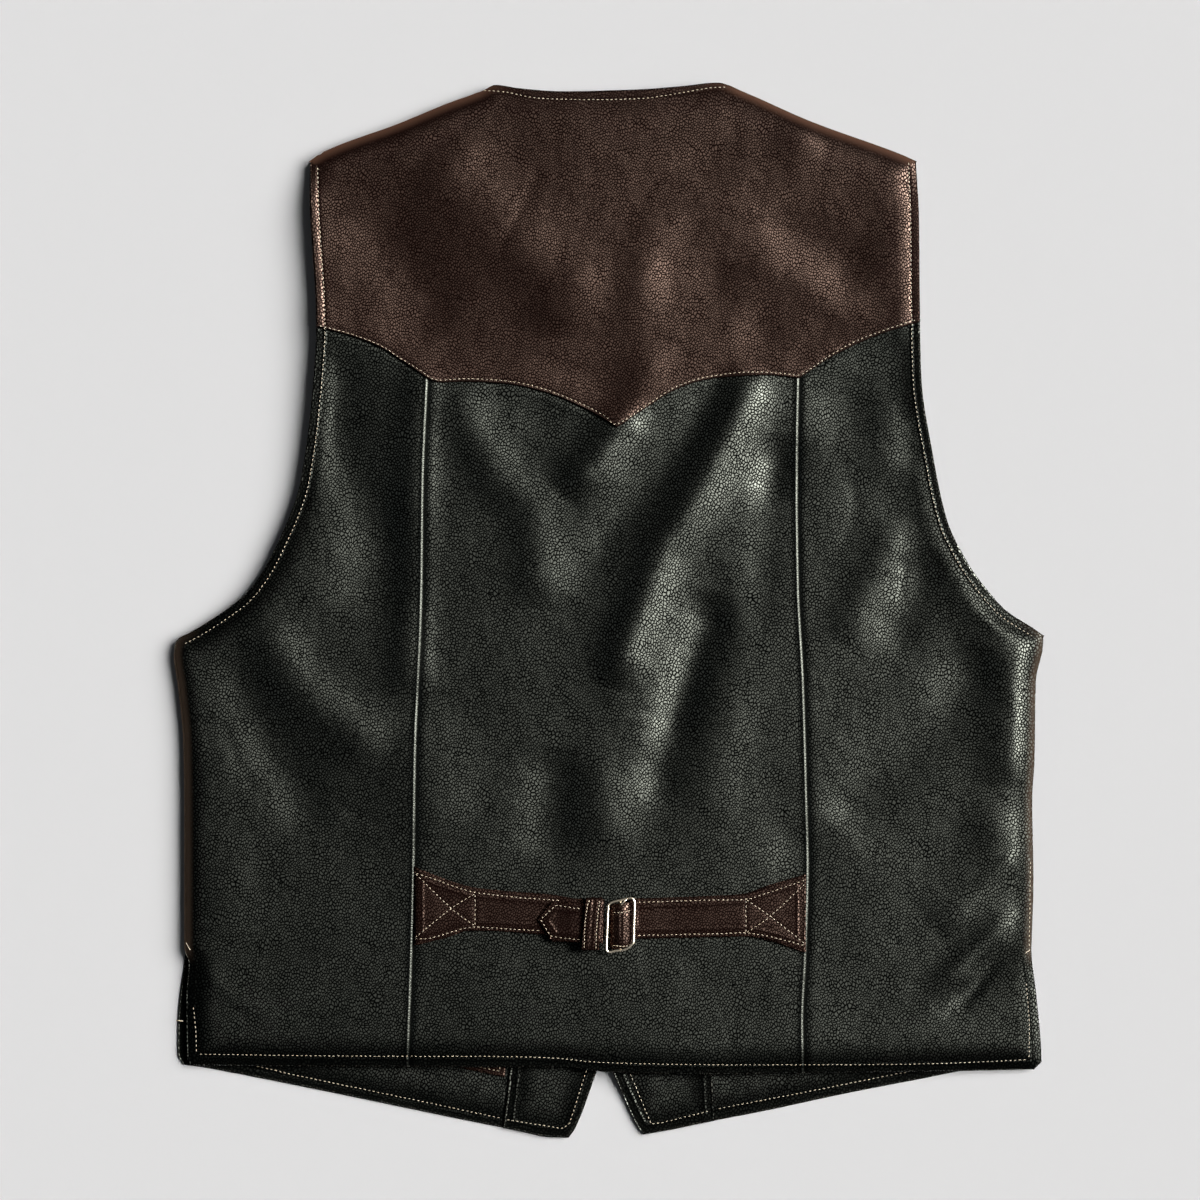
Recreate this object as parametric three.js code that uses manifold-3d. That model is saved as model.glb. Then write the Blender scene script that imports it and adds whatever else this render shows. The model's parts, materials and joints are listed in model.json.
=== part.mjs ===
// A leather vest laid flat on its fronts, back up: yoke, three back panels, two fronts with
// facings, an inner pocket, a back belt with its buckle, and the snaps that close the fronts.
// Millimetres. X runs from the wearer's left to right, Y from the hem to the neck, Z up from
// the surface the vest lies on. The origin is under the middle of the vest's box.

import * as THREE from 'three';
import { mergeVertices } from 'three/addons/utils/BufferGeometryUtils.js';
import Module from 'manifold-3d';

const wasm = await Module();
wasm.setup();

// Driving dimensions
const wall = 1.4; // leather of the body
const thinWall = 1.2; // facings, pocket and keeper
const strapWall = 1.6;
const seamGap = 0.3; // between pieces, at seams and where one lies on another
const sideSeamHeight = 5.5; // of the side seams above the surface
const shoulderSeamHeight = 6.5;
const frontRoll = 7; // width over which a front turns up into a seam
const plateauSide = 9.5; // height of the back's outside near the side seams
const plateauRise = 2.5; // added in the middle of the back
const plateauWidth = 150;
const overlapHalf = 11.6; // the fronts cross by twice this at the centre
const rampStart = 10; // where the upper front starts to come down, past the lower one's edge
const rampWidth = 20;
const liftReach = 22; // up the neck edge, where it keeps its full lift
const frontLift = wall + thinWall + 2 * seamGap;
const fitsBelow = 0.5; // least room between the back's inside and what lies under it
// What the back drapes over, in plan: how far the facings, the pocket and the overlap reach, the
// width over which each lifts the leather, and the extra room that the snaps ask for.
const under = {
  facings: { reach: 82, blend: 12 },
  pocket: { from: -196, to: -50, top: -136, blend: 8 },
  overlap: { reach: 34, blend: 18, top: 80, topBlend: 15, snaps: 1.3 },
};
const foldInset = 16; // distance from the edge over which the folds fade in
const pit = { left: -18, right: -16 }; // lowest place of each armhole, along Y
const vent = -219; // top of the side vents, along Y
const sewnSide = { low: -222, high: -12 }; // where a front turns up into its side seam
const sewnShoulder = { low: 280, middle: 2.5, reach: 194, blend: 16 }; // and into its shoulder seam
const liftEnds = { low: -330, lowBlend: 35, high: 165, highBlend: 45 }; // of the upper front's lift
const punchRoom = 0.45; // round a snap in a punched layer
const snapHeads = { count: 5, top: 45, pitch: 75, capRadius: 7, capDepth: 0.9, postRadius: 2.5 };
const snapRim = { radius: 5, depth: 0.8 };

// Folds of the back: a ridge has a positive rise, a trough a negative one. Each runs through
// its points, fades at both ends, and is a bell in section with the given half width.
const folds = [
  {
    rise: 6,
    half: 14,
    path: [[98, 158], [88, 139], [73, 107], [54, 71], [34, 39], [22, 7], [12, -19], [2, -50]],
  },
  { rise: 5.7, half: 14, path: [[36, 172], [23, 152], [8, 120], [-9, 94], [-30, 74]] },
  { rise: -1.5, half: 12, path: [[81, 165], [54, 118], [28, 81], [0, 49], [-22, 8]] },
  {
    rise: -5.5,
    half: 14,
    path: [[68, 13], [63, -9], [55, -29], [48, -51], [42, -71], [34, -100], [30, -128]],
  },
  { rise: -4.5, half: 13, path: [[113, 114], [105, 81], [100, 49], [97, 20], [98, -20]] },
  { rise: 3, half: 16, path: [[-98, 150], [-90, 117], [-70, 84], [-50, 66], [-46, 33], [-50, 2]] },
  { rise: -1.3, half: 18, path: [[-41, 142], [-51, 110]] },
  { rise: 3.3, half: 13, path: [[-119, 160], [-123, 107], [-127, 58], [-128, 7], [-128, -56]] },
  { rise: -2.3, half: 16, path: [[-138, 70], [-135, -6]] },
  { rise: 3.4, half: 17, path: [[-230, -4], [-216, -22], [-199, -51], [-174, -72], [-143, -94]] },
  { rise: -2.8, half: 20, path: [[-177, 172], [-177, 123], [-158, 71], [-154, 33], [-163, -4]] },
  { rise: -2.4, half: 17, path: [[-240, -27], [-235, -51], [-222, -80], [-203, -109], [-187, -145]] },
  { rise: 1.1, half: 20, path: [[-256, -80], [-253, -116], [-248, -161], [-239, -220]] },
  { rise: 5, half: 28, path: [[-118, -62], [-119, -109], [-110, -152]] },
  { rise: 3.6, half: 17, path: [[-7, -92], [-5, -122], [2, -158]] },
  { rise: -3.2, half: 18, path: [[-33, -86], [-38, -122], [-38, -165]] },
  { rise: 1.3, half: 17, path: [[81, -46], [73, -87], [67, -140]] },
  { rise: -1.8, half: 16, path: [[117, -131], [121, -172]] },
  { rise: -4.8, half: 22, path: [[150, 154], [150, 129], [148, 106]] },
  { rise: 1.8, half: 14, path: [[184, 136], [178, 104], [175, 78]] },
  { rise: 2.4, half: 13, path: [[190, 60], [168, 16], [147, -20]] },
  { rise: -2.3, half: 14, path: [[208, 40], [191, 0], [176, -30]] },
  { rise: 4, half: 18, path: [[206, 104], [220, 46], [243, 0], [257, -32], [259, -71], [254, -114]] },
  { rise: -2.6, half: 20, path: [[243, -25], [214, -71], [175, -103], [145, -140]] },
  { rise: 2.7, half: 16, path: [[255, -122], [248, -155], [227, -187], [208, -204]] },
  { rise: -1.4, half: 12, path: [[252, -156], [233, -174], [208, -192]] },
  { rise: 3, half: 9, path: [[262, -190], [238, -218], [206, -248]] },
  { rise: -2.5, half: 9, path: [[256, -214], [236, -241], [212, -263]] },
  { rise: 4.9, half: 25, path: [[-117, 294], [-83, 255], [-57, 229], [-34, 207], [-35, 176]] },
  { rise: 1.9, half: 21, path: [[-32, 210], [7, 210], [38, 221]] },
  { rise: -2.7, half: 23, path: [[-157, 262], [-138, 229], [-125, 207], [-101, 183]] },
  { rise: -1.3, half: 20, path: [[-70, 310], [-55, 286]] },
  { rise: -1.7, half: 21, path: [[57, 308], [68, 277]] },
  { rise: -2.3, half: 15, path: [[63, 227], [69, 203]] },
  { rise: -2.8, half: 16, path: [[98, 252], [123, 242], [146, 228], [166, 209]] },
  { rise: 1.5, half: 13, path: [[82, 228], [101, 222], [123, 212], [149, 193], [179, 186]] },
  { rise: -2, half: 17, path: [[79, 183], [119, 168]] },
  { rise: 3.5, half: 17, path: [[173, 288], [187, 252], [188, 207], [190, 165]] },
  { rise: 2.5, half: 21, path: [[106, 312], [142, 298]] },
];
const foldEnd = 30; // length over which a fold fades out at its ends
// The belt presses the leather flat around the buckle.
const beltPress = { x: -4, y: -200, wide: 48, high: 26, amount: 0.9 };

// Outlines of the back, seen from above. The rows run along the named edge, and a row marked
// corner breaks the curve there. z is the height of the outside at the edge, sweep the width
// over which it rises to the plateau, and seam is 1 where the edge is sewn to a front.
const neckAndShoulders = [
  { x: -193, y: 289, z: 6.8, sweep: 16, seam: 1 },
  { x: -183, y: 295.5, z: 6.65, sweep: 12, seam: 1 },
  { x: -135, y: 313.5, z: 6.65, sweep: 11, seam: 1 },
  { x: -106, y: 325.5, z: 6.65, sweep: 11, seam: 1 },
  { x: -83, y: 334, z: 6.65, sweep: 11, seam: 1 },
  { x: -73, y: 338.5, z: 8, sweep: 14, seam: 0.4 },
  { x: -57, y: 336, z: 10, sweep: 24, seam: 0 },
  { x: -30, y: 334, z: 10.5, sweep: 26, seam: 0 },
  { x: 20, y: 335.3, z: 10.5, sweep: 26, seam: 0 },
  { x: 45, y: 337.3, z: 10, sweep: 24, seam: 0 },
  { x: 70, y: 340, z: 8, sweep: 14, seam: 0.4 },
  { x: 86, y: 334, z: 6.65, sweep: 11, seam: 1 },
  { x: 130, y: 314.7, z: 6.65, sweep: 11, seam: 1 },
  { x: 188, y: 293.5, z: 6.65, sweep: 12, seam: 1 },
  { x: 198, y: 289, z: 6.8, sweep: 16, seam: 1 },
];
const leftEdge = [
  { y: 289, x: -193, z: 6.8, sweep: 16, seam: 0 },
  { y: 258, x: -192, z: 13, sweep: 24, seam: 0 },
  { y: 183, x: -188, z: 12.5, sweep: 26, seam: 0 },
  { y: 149, x: -190, z: 12, sweep: 26, seam: 0 },
  { y: 84, x: -198.3, z: 10.5, sweep: 24, seam: 0 },
  { y: 39, x: -215.6, z: 9.5, sweep: 24, seam: 0 },
  { y: 13, x: -232, z: 8.5, sweep: 22, seam: 0 },
  { y: -9, x: -261.7, z: 6.6, sweep: 16, seam: 0 },
  { y: -18, x: -278.3, z: 5.8, sweep: 12, seam: 0.5, corner: true },
  { y: -27, x: -280.2, z: 5.65, sweep: 10, seam: 1 },
  { y: -51, x: -277.2, z: 5.65, sweep: 10, seam: 1 },
  { y: -84, x: -274.1, z: 5.65, sweep: 10, seam: 1 },
  { y: -122, x: -273.4, z: 5.65, sweep: 10, seam: 1 },
  { y: -219, x: -273.4, z: 5.65, sweep: 10, seam: 1, corner: true },
  { y: -227, x: -271.2, z: 5, sweep: 14, seam: 0 },
  { y: -248, x: -272.8, z: 4.6, sweep: 18, seam: 0 },
  { y: -288, x: -272.2, z: 4.6, sweep: 18, seam: 0 },
  { y: -293.4, x: -269.4, z: 4.6, sweep: 18, seam: 0 },
];
const rightEdge = [
  { y: 289, x: 198, z: 6.8, sweep: 16, seam: 0 },
  { y: 252, x: 199.3, z: 10.5, sweep: 22, seam: 0 },
  { y: 186, x: 199.8, z: 11, sweep: 24, seam: 0 },
  { y: 149, x: 200.8, z: 11, sweep: 24, seam: 0 },
  { y: 102, x: 207.9, z: 10.5, sweep: 24, seam: 0 },
  { y: 58, x: 217.5, z: 10, sweep: 24, seam: 0 },
  { y: 32.6, x: 229.8, z: 9.2, sweep: 24, seam: 0 },
  { y: 16, x: 241.4, z: 8.4, sweep: 22, seam: 0 },
  { y: 0, x: 256.3, z: 7, sweep: 16, seam: 0 },
  { y: -11, x: 273.4, z: 5.9, sweep: 12, seam: 0.3 },
  { y: -16, x: 279.8, z: 5.7, sweep: 10, seam: 0.8, corner: true },
  { y: -24, x: 279.2, z: 5.65, sweep: 10, seam: 1 },
  { y: -46, x: 274.7, z: 5.65, sweep: 10, seam: 1 },
  { y: -96, x: 273.9, z: 5.65, sweep: 10, seam: 1 },
  { y: -122, x: 272.4, z: 5.65, sweep: 10, seam: 1 },
  { y: -174, x: 273.2, z: 5.65, sweep: 10, seam: 1 },
  { y: -219, x: 271.8, z: 5.65, sweep: 10, seam: 1, corner: true },
  { y: -232, x: 273.7, z: 5, sweep: 14, seam: 0 },
  { y: -251, x: 276.1, z: 4.6, sweep: 18, seam: 0 },
  { y: -290, x: 279, z: 4.6, sweep: 18, seam: 0 },
  { y: -296, x: 274, z: 4.6, sweep: 18, seam: 0 },
];
const backHem = [
  { x: -269.4, y: -293.4, z: 4.6, sweep: 18, seam: 0 },
  { x: -190, y: -294, z: 6.5, sweep: 22, seam: 0 },
  { x: -130, y: -294, z: 8.4, sweep: 22, seam: 0 },
  { x: -60, y: -294, z: 9.8, sweep: 22, seam: 0 },
  { x: -31, y: -294.2, z: 10, sweep: 22, seam: 0 },
  { x: 7, y: -297.6, z: 10.2, sweep: 22, seam: 0 },
  { x: 60, y: -298.8, z: 9.8, sweep: 22, seam: 0 },
  { x: 128, y: -298, z: 8.6, sweep: 22, seam: 0 },
  { x: 205, y: -297.2, z: 6.5, sweep: 22, seam: 0 },
  { x: 274, y: -296, z: 4.6, sweep: 18, seam: 0 },
];

// Seams of the back: the yoke's scalloped edge, and the two side back seams.
const yokeSeam = [
  { x: -188, y: 182 },
  { x: -166.5, y: 176.5 },
  { x: -146.5, y: 168.7 },
  { x: -133.6, y: 160.6 },
  { x: -116.4, y: 148.8, corner: true },
  { x: -108, y: 146.4 },
  { x: -94, y: 146.9 },
  { x: -68, y: 145.6 },
  { x: -41.3, y: 140 },
  { x: -15, y: 129.2 },
  { x: 5.2, y: 117.3, corner: true },
  { x: 25.8, y: 131 },
  { x: 40.7, y: 140.6 },
  { x: 55.5, y: 146.4 },
  { x: 70.4, y: 149.4 },
  { x: 100, y: 151.2 },
  { x: 122.2, y: 149, corner: true },
  { x: 144.3, y: 163.6 },
  { x: 173.6, y: 177 },
  { x: 199.8, y: 185.4 },
];
const leftSeam = [
  { y: 146, x: -116.4 },
  { y: 84, x: -119 },
  { y: -4, x: -120.3 },
  { y: -84, x: -123.9 },
  { y: -180, x: -125.5 },
  { y: -294, x: -129.1 },
];
const rightSeam = [
  { y: 149, x: 122 },
  { y: 84, x: 121 },
  { y: 18, x: 121.8 },
  { y: -47, x: 125.1 },
  { y: -122, x: 127.2 },
  { y: -164, x: 128.2 },
  { y: -223, x: 126.5 },
  { y: -264, x: 124.6 },
  { y: -298, x: 125.2 },
];

// Fronts: the armhole, side and vent edge, the neck and centre edge, and the hem.
const frontOuterLeft = [
  { y: 289, x: -193 },
  { y: 262, x: -178 },
  { y: 150, x: -158 },
  { y: 60, x: -172 },
  { y: 12, x: -204 },
  { y: -14, x: -262 },
  { y: -23, x: -279.6, corner: true },
  { y: -51, x: -277.2 },
  { y: -84, x: -274.1 },
  { y: -122, x: -273.4 },
  { y: -219, x: -273.4, corner: true },
  { y: -232, x: -274.7 },
  { y: -246, x: -276.8 },
  { y: -264, x: -278.2 },
  { y: -286, x: -278.5 },
  { y: -293, x: -275 },
];
const frontOuterRight = [
  { y: 289, x: 198 },
  { y: 262, x: 184 },
  { y: 150, x: 166 },
  { y: 60, x: 178 },
  { y: 12, x: 210 },
  { y: -12, x: 262 },
  { y: -20, x: 279.4, corner: true },
  { y: -46, x: 274.7 },
  { y: -96, x: 273.9 },
  { y: -122, x: 272.4 },
  { y: -174, x: 273.2 },
  { y: -219, x: 271.8, corner: true },
  { y: -251, x: 272.6 },
  { y: -286, x: 273 },
  { y: -291, x: 270 },
];
const centreEdgeLeft = [
  { y: 337, x: -75 },
  { y: 300, x: -66 },
  { y: 200, x: -44 },
  { y: 110, x: -12 },
  { y: 62, x: overlapHalf, corner: true },
  { y: -245, x: overlapHalf, corner: true },
  { y: -296.6, x: -7.7 },
  { y: -334, x: -21.8 },
  { y: -340, x: -26 },
];
const centreEdgeRight = [
  { y: 338, x: 73 },
  { y: 300, x: 65 },
  { y: 200, x: 44 },
  { y: 110, x: 12 },
  { y: 62, x: -overlapHalf, corner: true },
  { y: -266, x: -overlapHalf, corner: true },
  { y: -296.6, x: 1.9 },
  { y: -332, x: 17.8 },
  { y: -338, x: 22 },
];
const frontHemLeft = [
  { x: -275, y: -293 },
  { x: -264, y: -294.4 },
  { x: -238, y: -299.2 },
  { x: -173.6, y: -312.1 },
  { x: -96, y: -328.2 },
  { x: -57, y: -336 },
  { x: -38, y: -339.7 },
  { x: -26, y: -340 },
];
const frontHemRight = [
  { x: 22, y: -338 },
  { x: 37.4, y: -335.3 },
  { x: 62.6, y: -330.2 },
  { x: 102.6, y: -322.4 },
  { x: 150.4, y: -312.1 },
  { x: 203.3, y: -301.8 },
  { x: 232, y: -296.2 },
  { x: 270, y: -291 },
];
const facingEdgeLeft = [
  { y: 317, x: -126 },
  { y: 220, x: -104 },
  { y: 120, x: -74 },
  { y: 60, x: -58 },
  { y: -100, x: -56 },
  { y: -294, x: -64 },
  { y: -334, x: -68.4 },
];
const facingEdgeRight = [
  { y: 316, x: 126 },
  { y: 220, x: 104 },
  { y: 120, x: 74 },
  { y: 60, x: 58 },
  { y: -100, x: 60 },
  { y: -298, x: 66.3 },
  { y: -329, x: 67.8 },
];
const facingTop = 305; // the facings stop here, below the shoulder seams' turn

// Back belt: upper and lower edges of its straps, and its hardware.
const strapLeftUpper = [
  { x: -125.2, y: -164.5 },
  { x: -98.8, y: -174.4 },
  { x: -86.9, y: -177.6 },
  { x: -71.7, y: -179.4 },
  { x: -35, y: -182.5 },
  { x: -18, y: -184.9 },
  { x: -3, y: -185.2 },
];
const strapLeftLower = [
  { x: -126.6, y: -215.6 },
  { x: -103.3, y: -209.7 },
  { x: -90, y: -205.6 },
  { x: -80, y: -205.6 },
  { x: -44, y: -208 },
  { x: -18, y: -210 },
  { x: -3, y: -210.6 },
];
const strapRightUpper = [
  { x: 15.8, y: -184.8 },
  { x: 66.5, y: -183 },
  { x: 86, y: -181.8 },
  { x: 102.6, y: -176.2 },
  { x: 127.6, y: -169 },
];
const strapRightLower = [
  { x: 15.8, y: -210.6 },
  { x: 66.5, y: -209.7 },
  { x: 88.4, y: -209.3 },
  { x: 102.6, y: -212 },
  { x: 126, y: -219.7 },
];
const tongue = { tip: -45.8, shoulder: -37.2, end: -2.6, upper: -187, lower: -212.6, middle: -199 };
const keeper = { from: -18.1, to: -5.2, upper: -182.7, lower: -217.4 };
const buckle = { from: -1.9, to: 16.6, upper: -184.3, lower: -219.1, wire: 1.8, corner: 3.4 };
const tab = { from: 0.4, to: 15, upper: -187.6, lower: -216.4, crown: 6.9 };
const pocket = { left: -186, right: -67, bottom: -301, height: 150, slope: -0.208 };

const clamp = (value, low, high) => Math.min(high, Math.max(low, value));
const lerp = (a, b, t) => a + (b - a) * t;
const smooth = (t) => {
  const s = clamp(t, 0, 1);
  return s * s * (3 - 2 * s);
};

// A smooth curve through a table's rows, read as the value of one column against another.
function through(rows, along, across) {
  const sorted = [...rows].sort((a, b) => a[along] - b[along]);
  const secant = (i) =>
    (sorted[i + 1][across] - sorted[i][across]) / (sorted[i + 1][along] - sorted[i][along]);
  const slope = (i, side) => {
    if (i === 0) return secant(0);
    if (i === sorted.length - 1) return secant(i - 1);
    if (sorted[i].corner) return side < 0 ? secant(i - 1) : secant(i);
    const [before, after] = [secant(i - 1), secant(i)];
    return before * after <= 0 ? 0 : (2 * before * after) / (before + after);
  };
  return (value) => {
    const v = clamp(value, sorted[0][along], sorted[sorted.length - 1][along]);
    let i = 0;
    while (i < sorted.length - 2 && v > sorted[i + 1][along]) i += 1;
    const span = sorted[i + 1][along] - sorted[i][along];
    const t = (v - sorted[i][along]) / span;
    const rise = sorted[i + 1][across] - sorted[i][across];
    const [m0, m1] = [slope(i, 1) * span, slope(i + 1, -1) * span];
    return sorted[i][across] + t * (m0 + t * (3 * rise - 2 * m0 - m1 + t * (m0 + m1 - 2 * rise)));
  };
}

// Steps between marks, no longer than the given step, as fractions of the whole.
function fill(marks, step) {
  const out = [marks[0]];
  for (let i = 1; i < marks.length; i += 1) {
    const parts = Math.max(1, Math.ceil((marks[i] - marks[i - 1]) / step - 1e-6));
    for (let k = 1; k <= parts; k += 1) out.push(lerp(marks[i - 1], marks[i], k / parts));
  }
  return out;
}

// The back's outline as a chain of short pieces, each with its edge height, sweep and seam.
function chain(rows, along, across, count) {
  const columns = { [across]: 0, z: 0, sweep: 0, seam: 0 };
  const curves = Object.keys(columns).map((name) => [name, through(rows, along, name)]);
  const [first, last] = [rows[0][along], rows[rows.length - 1][along]];
  return Array.from({ length: count + 1 }, (_, i) => {
    const at = lerp(first, last, i / count);
    return Object.fromEntries([[along, at], ...curves.map(([name, f]) => [name, f(at)])]);
  });
}

const outlineStep = { top: 60, side: 110, hem: 40 };
const outline = [
  ...chain(neckAndShoulders, 'x', 'y', outlineStep.top),
  ...chain(rightEdge, 'y', 'x', outlineStep.side),
  ...chain(backHem, 'x', 'y', outlineStep.hem).reverse(),
  ...chain(leftEdge, 'y', 'x', outlineStep.side).reverse(),
];

// The nearest place on the outline: its distance, inward direction and edge values.
function nearestEdge(x, y) {
  let best = { distance: Infinity };
  for (let i = 0; i < outline.length; i += 1) {
    const a = outline[i];
    const b = outline[(i + 1) % outline.length];
    const [ux, uy] = [b.x - a.x, b.y - a.y];
    const length = Math.hypot(ux, uy);
    if (length < 1e-6) continue;
    const t = clamp(((x - a.x) * ux + (y - a.y) * uy) / length ** 2, 0, 1);
    const distance = Math.hypot(x - lerp(a.x, b.x, t), y - lerp(a.y, b.y, t));
    if (distance < best.distance) {
      best = {
        distance,
        inward: [uy / length, -ux / length],
        z: lerp(a.z, b.z, t),
        sweep: lerp(a.sweep, b.sweep, t),
        seam: lerp(a.seam, b.seam, t),
      };
    }
  }
  return best;
}

// How far along a path, and how far from it, a point lies.
function alongPath(path, x, y) {
  let best = { distance: Infinity };
  let run = 0;
  for (let i = 0; i + 1 < path.length; i += 1) {
    const [ax, ay] = path[i];
    const [ux, uy] = [path[i + 1][0] - ax, path[i + 1][1] - ay];
    const length = Math.hypot(ux, uy);
    const t = clamp(((x - ax) * ux + (y - ay) * uy) / length ** 2, 0, 1);
    const distance = Math.hypot(x - ax - ux * t, y - ay - uy * t);
    if (distance < best.distance) best = { distance, at: run + length * t };
    run += length;
  }
  return { ...best, length: run };
}

function foldHeight(x, y) {
  const press = Math.exp(
    -(((x - beltPress.x) / beltPress.wide) ** 2) - ((y - beltPress.y) / beltPress.high) ** 2,
  );
  const sum = folds.reduce((total, fold) => {
    const { distance, at, length } = alongPath(fold.path, x, y);
    const ends = smooth(at / foldEnd + 0.25) * smooth((length - at) / foldEnd + 0.25);
    return total + fold.rise * ends * Math.exp(-((distance / fold.half) ** 2));
  }, 0);
  return sum * (1 - beltPress.amount * press);
}

// Height of what lies under the back: fronts, facings, their overlap and the snaps.
function stackHeight(x, y) {
  const { facings, pocket: cover, overlap } = under;
  const layer = thinWall + seamGap;
  const onFacings = smooth((facings.reach - Math.abs(x)) / facings.blend);
  const acrossPocket = smooth((x - cover.from) / cover.blend) * smooth((cover.to - x) / cover.blend);
  const onPocket = acrossPocket * smooth((cover.top - y) / 10);
  const acrossOverlap = smooth((overlap.reach - Math.abs(x)) / overlap.blend);
  const onOverlap = acrossOverlap * smooth((overlap.top - y) / overlap.topBlend);
  return wall + Math.max(onFacings, onPocket) * layer + onOverlap * (frontLift + overlap.snaps);
}

// Height of the back's outside: the plateau with its folds, brought down to the edge heights.
function backTop(x, y) {
  const edge = nearestEdge(x, y);
  const base = plateauSide + plateauRise * Math.exp(-((x / plateauWidth) ** 2));
  const t = clamp(edge.distance / edge.sweep, 0, 1);
  const round = lerp(1 - (1 - t) ** 2, Math.sqrt(1 - (1 - t) ** 2), edge.seam);
  const foldIn = smooth(edge.distance / foldInset);
  const high = base + foldHeight(x, y) * foldIn;
  const least = stackHeight(x, y) + wall + fitsBelow;
  const over = high - least;
  const kept = least + 0.5 * (over + Math.sqrt(over * over + 1));
  return edge.z + (kept - edge.z) * round;
}

// Outward normal of the back's outside. At a seam it lies flat, so the two walls meet squarely.
function backNormal(x, y) {
  const edge = nearestEdge(x, y);
  const step = 0.3;
  const pull = Math.max(0, 2 * step - edge.distance);
  const [px, py] = [x + edge.inward[0] * pull, y + edge.inward[1] * pull];
  const dx = (backTop(px + step, py) - backTop(px - step, py)) / (2 * step);
  const dy = (backTop(px, py + step) - backTop(px, py - step)) / (2 * step);
  const atSeam = edge.distance < 0.05 ? edge.seam : 0;
  return new THREE.Vector3(-dx, -dy, 1 - atSeam).normalize();
}

// Outside and inside points of the back at a place in plan.
function backPoint([x, y]) {
  const outside = new THREE.Vector3(x, y, backTop(x, y));
  return [outside, outside.clone().addScaledVector(backNormal(x, y), -wall)];
}

// A patch between four edges: each edge is a function of a fraction that gives a plan point.
function patch({ top, bottom, left, right }, across, down) {
  const corners = [top(0), top(1), bottom(0), bottom(1)];
  return down.map((v) =>
    across.map((u) =>
      [0, 1].map((k) => {
        const ruled = (1 - v) * top(u)[k] + v * bottom(u)[k] + (1 - u) * left(v)[k] + u * right(v)[k];
        const upper = (1 - u) * corners[0][k] + u * corners[1][k];
        const lower = (1 - u) * corners[2][k] + u * corners[3][k];
        return ruled - (1 - v) * upper - v * lower;
      }),
    ),
  );
}

// A closed wall from a grid of point pairs. A grid may also close on itself round a loop.
function wallFrom(pairs, loops = false) {
  const rows = pairs.length;
  const columns = pairs[0].length;
  const index = (side, i, j) => side * rows * columns + (i % rows) * columns + j;
  const positions = [0, 1].flatMap((side) =>
    pairs.flatMap((row) => row.flatMap((pair) => pair[side].toArray())),
  );
  const faces = [];
  const quad = (a, b, c, d) => faces.push(a, b, c, a, c, d);
  const lastRow = loops ? rows : rows - 1;
  for (let i = 0; i < lastRow; i += 1) {
    for (let j = 0; j < columns - 1; j += 1) {
      quad(index(0, i, j), index(0, i + 1, j), index(0, i + 1, j + 1), index(0, i, j + 1));
      quad(index(1, i, j), index(1, i, j + 1), index(1, i + 1, j + 1), index(1, i + 1, j));
    }
    quad(index(0, i, 0), index(1, i, 0), index(1, i + 1, 0), index(0, i + 1, 0));
    const end = columns - 1;
    quad(index(0, i, end), index(0, i + 1, end), index(1, i + 1, end), index(1, i, end));
  }
  if (!loops) {
    const end = rows - 1;
    for (let j = 0; j < columns - 1; j += 1) {
      quad(index(0, 0, j), index(0, 0, j + 1), index(1, 0, j + 1), index(1, 0, j));
      quad(index(0, end, j), index(1, end, j), index(1, end, j + 1), index(0, end, j + 1));
    }
  }
  return facingOut(positions, faces);
}

// Geometry from points and faces, turned so that its faces point outwards.
function facingOut(positions, faces) {
  const geometry = new THREE.BufferGeometry();
  geometry.setAttribute('position', new THREE.Float32BufferAttribute(positions, 3));
  const point = (i) => new THREE.Vector3().fromArray(positions, 3 * i);
  let volume = 0;
  for (let i = 0; i < faces.length; i += 3) {
    volume += point(faces[i]).dot(point(faces[i + 1]).cross(point(faces[i + 2])));
  }
  if (volume < 0) faces.reverse();
  geometry.setIndex(faces);
  return geometry;
}

function solidOf(geometry) {
  const bare = geometry.clone();
  bare.deleteAttribute('normal');
  bare.deleteAttribute('uv');
  const merged = mergeVertices(bare, 1e-4);
  return new wasm.Manifold(
    new wasm.Mesh({
      numProp: 3,
      vertProperties: new Float32Array(merged.attributes.position.array),
      triVerts: new Uint32Array(merged.index.array),
    }),
  );
}

function geometryOf(solid) {
  const mesh = solid.getMesh();
  const geometry = new THREE.BufferGeometry();
  geometry.setAttribute('position', new THREE.BufferAttribute(mesh.vertProperties, 3));
  geometry.setIndex(new THREE.BufferAttribute(mesh.triVerts, 1));
  return geometry;
}

// Edge curves
const topY = through(neckAndShoulders, 'x', 'y');
const leftX = through(leftEdge, 'y', 'x');
const rightX = through(rightEdge, 'y', 'x');
const hemY = through(backHem, 'x', 'y');
const yokeY = through(yokeSeam, 'x', 'y');
const leftSeamX = through(leftSeam, 'y', 'x');
const rightSeamX = through(rightSeam, 'y', 'x');

const half = seamGap / 2;
const seamDrop = half * 1.3; // half the gap, measured up and down on the sloping yoke seam
const alongX = (curve, from, to, shift = 0) => (t) => {
  const x = lerp(from, to, t);
  return [x, curve(x) + shift];
};
const alongY = (curve, from, to, shift = 0) => (t) => {
  const y = lerp(from, to, t);
  return [curve(y) + shift, y];
};
const yokeTip = 5.2;
const notchLeft = -116.4;
const notchRight = 122.2;

// Columns of the three back panels, which the yoke's columns meet one to one at its seam.
const outerColumns = fill([0, 0.006, 0.022, 0.045, 0.08, 1], 0.095);
const innerColumns = outerColumns.map((u) => 1 - u).reverse();
const seamEnds = { left: yokeSeam[0].x, right: yokeSeam.at(-1).x };
const tipAt = (yokeTip - notchLeft) / (notchRight - notchLeft);
const centreColumns = fill([0, tipAt, 1], 0.044);

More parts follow.
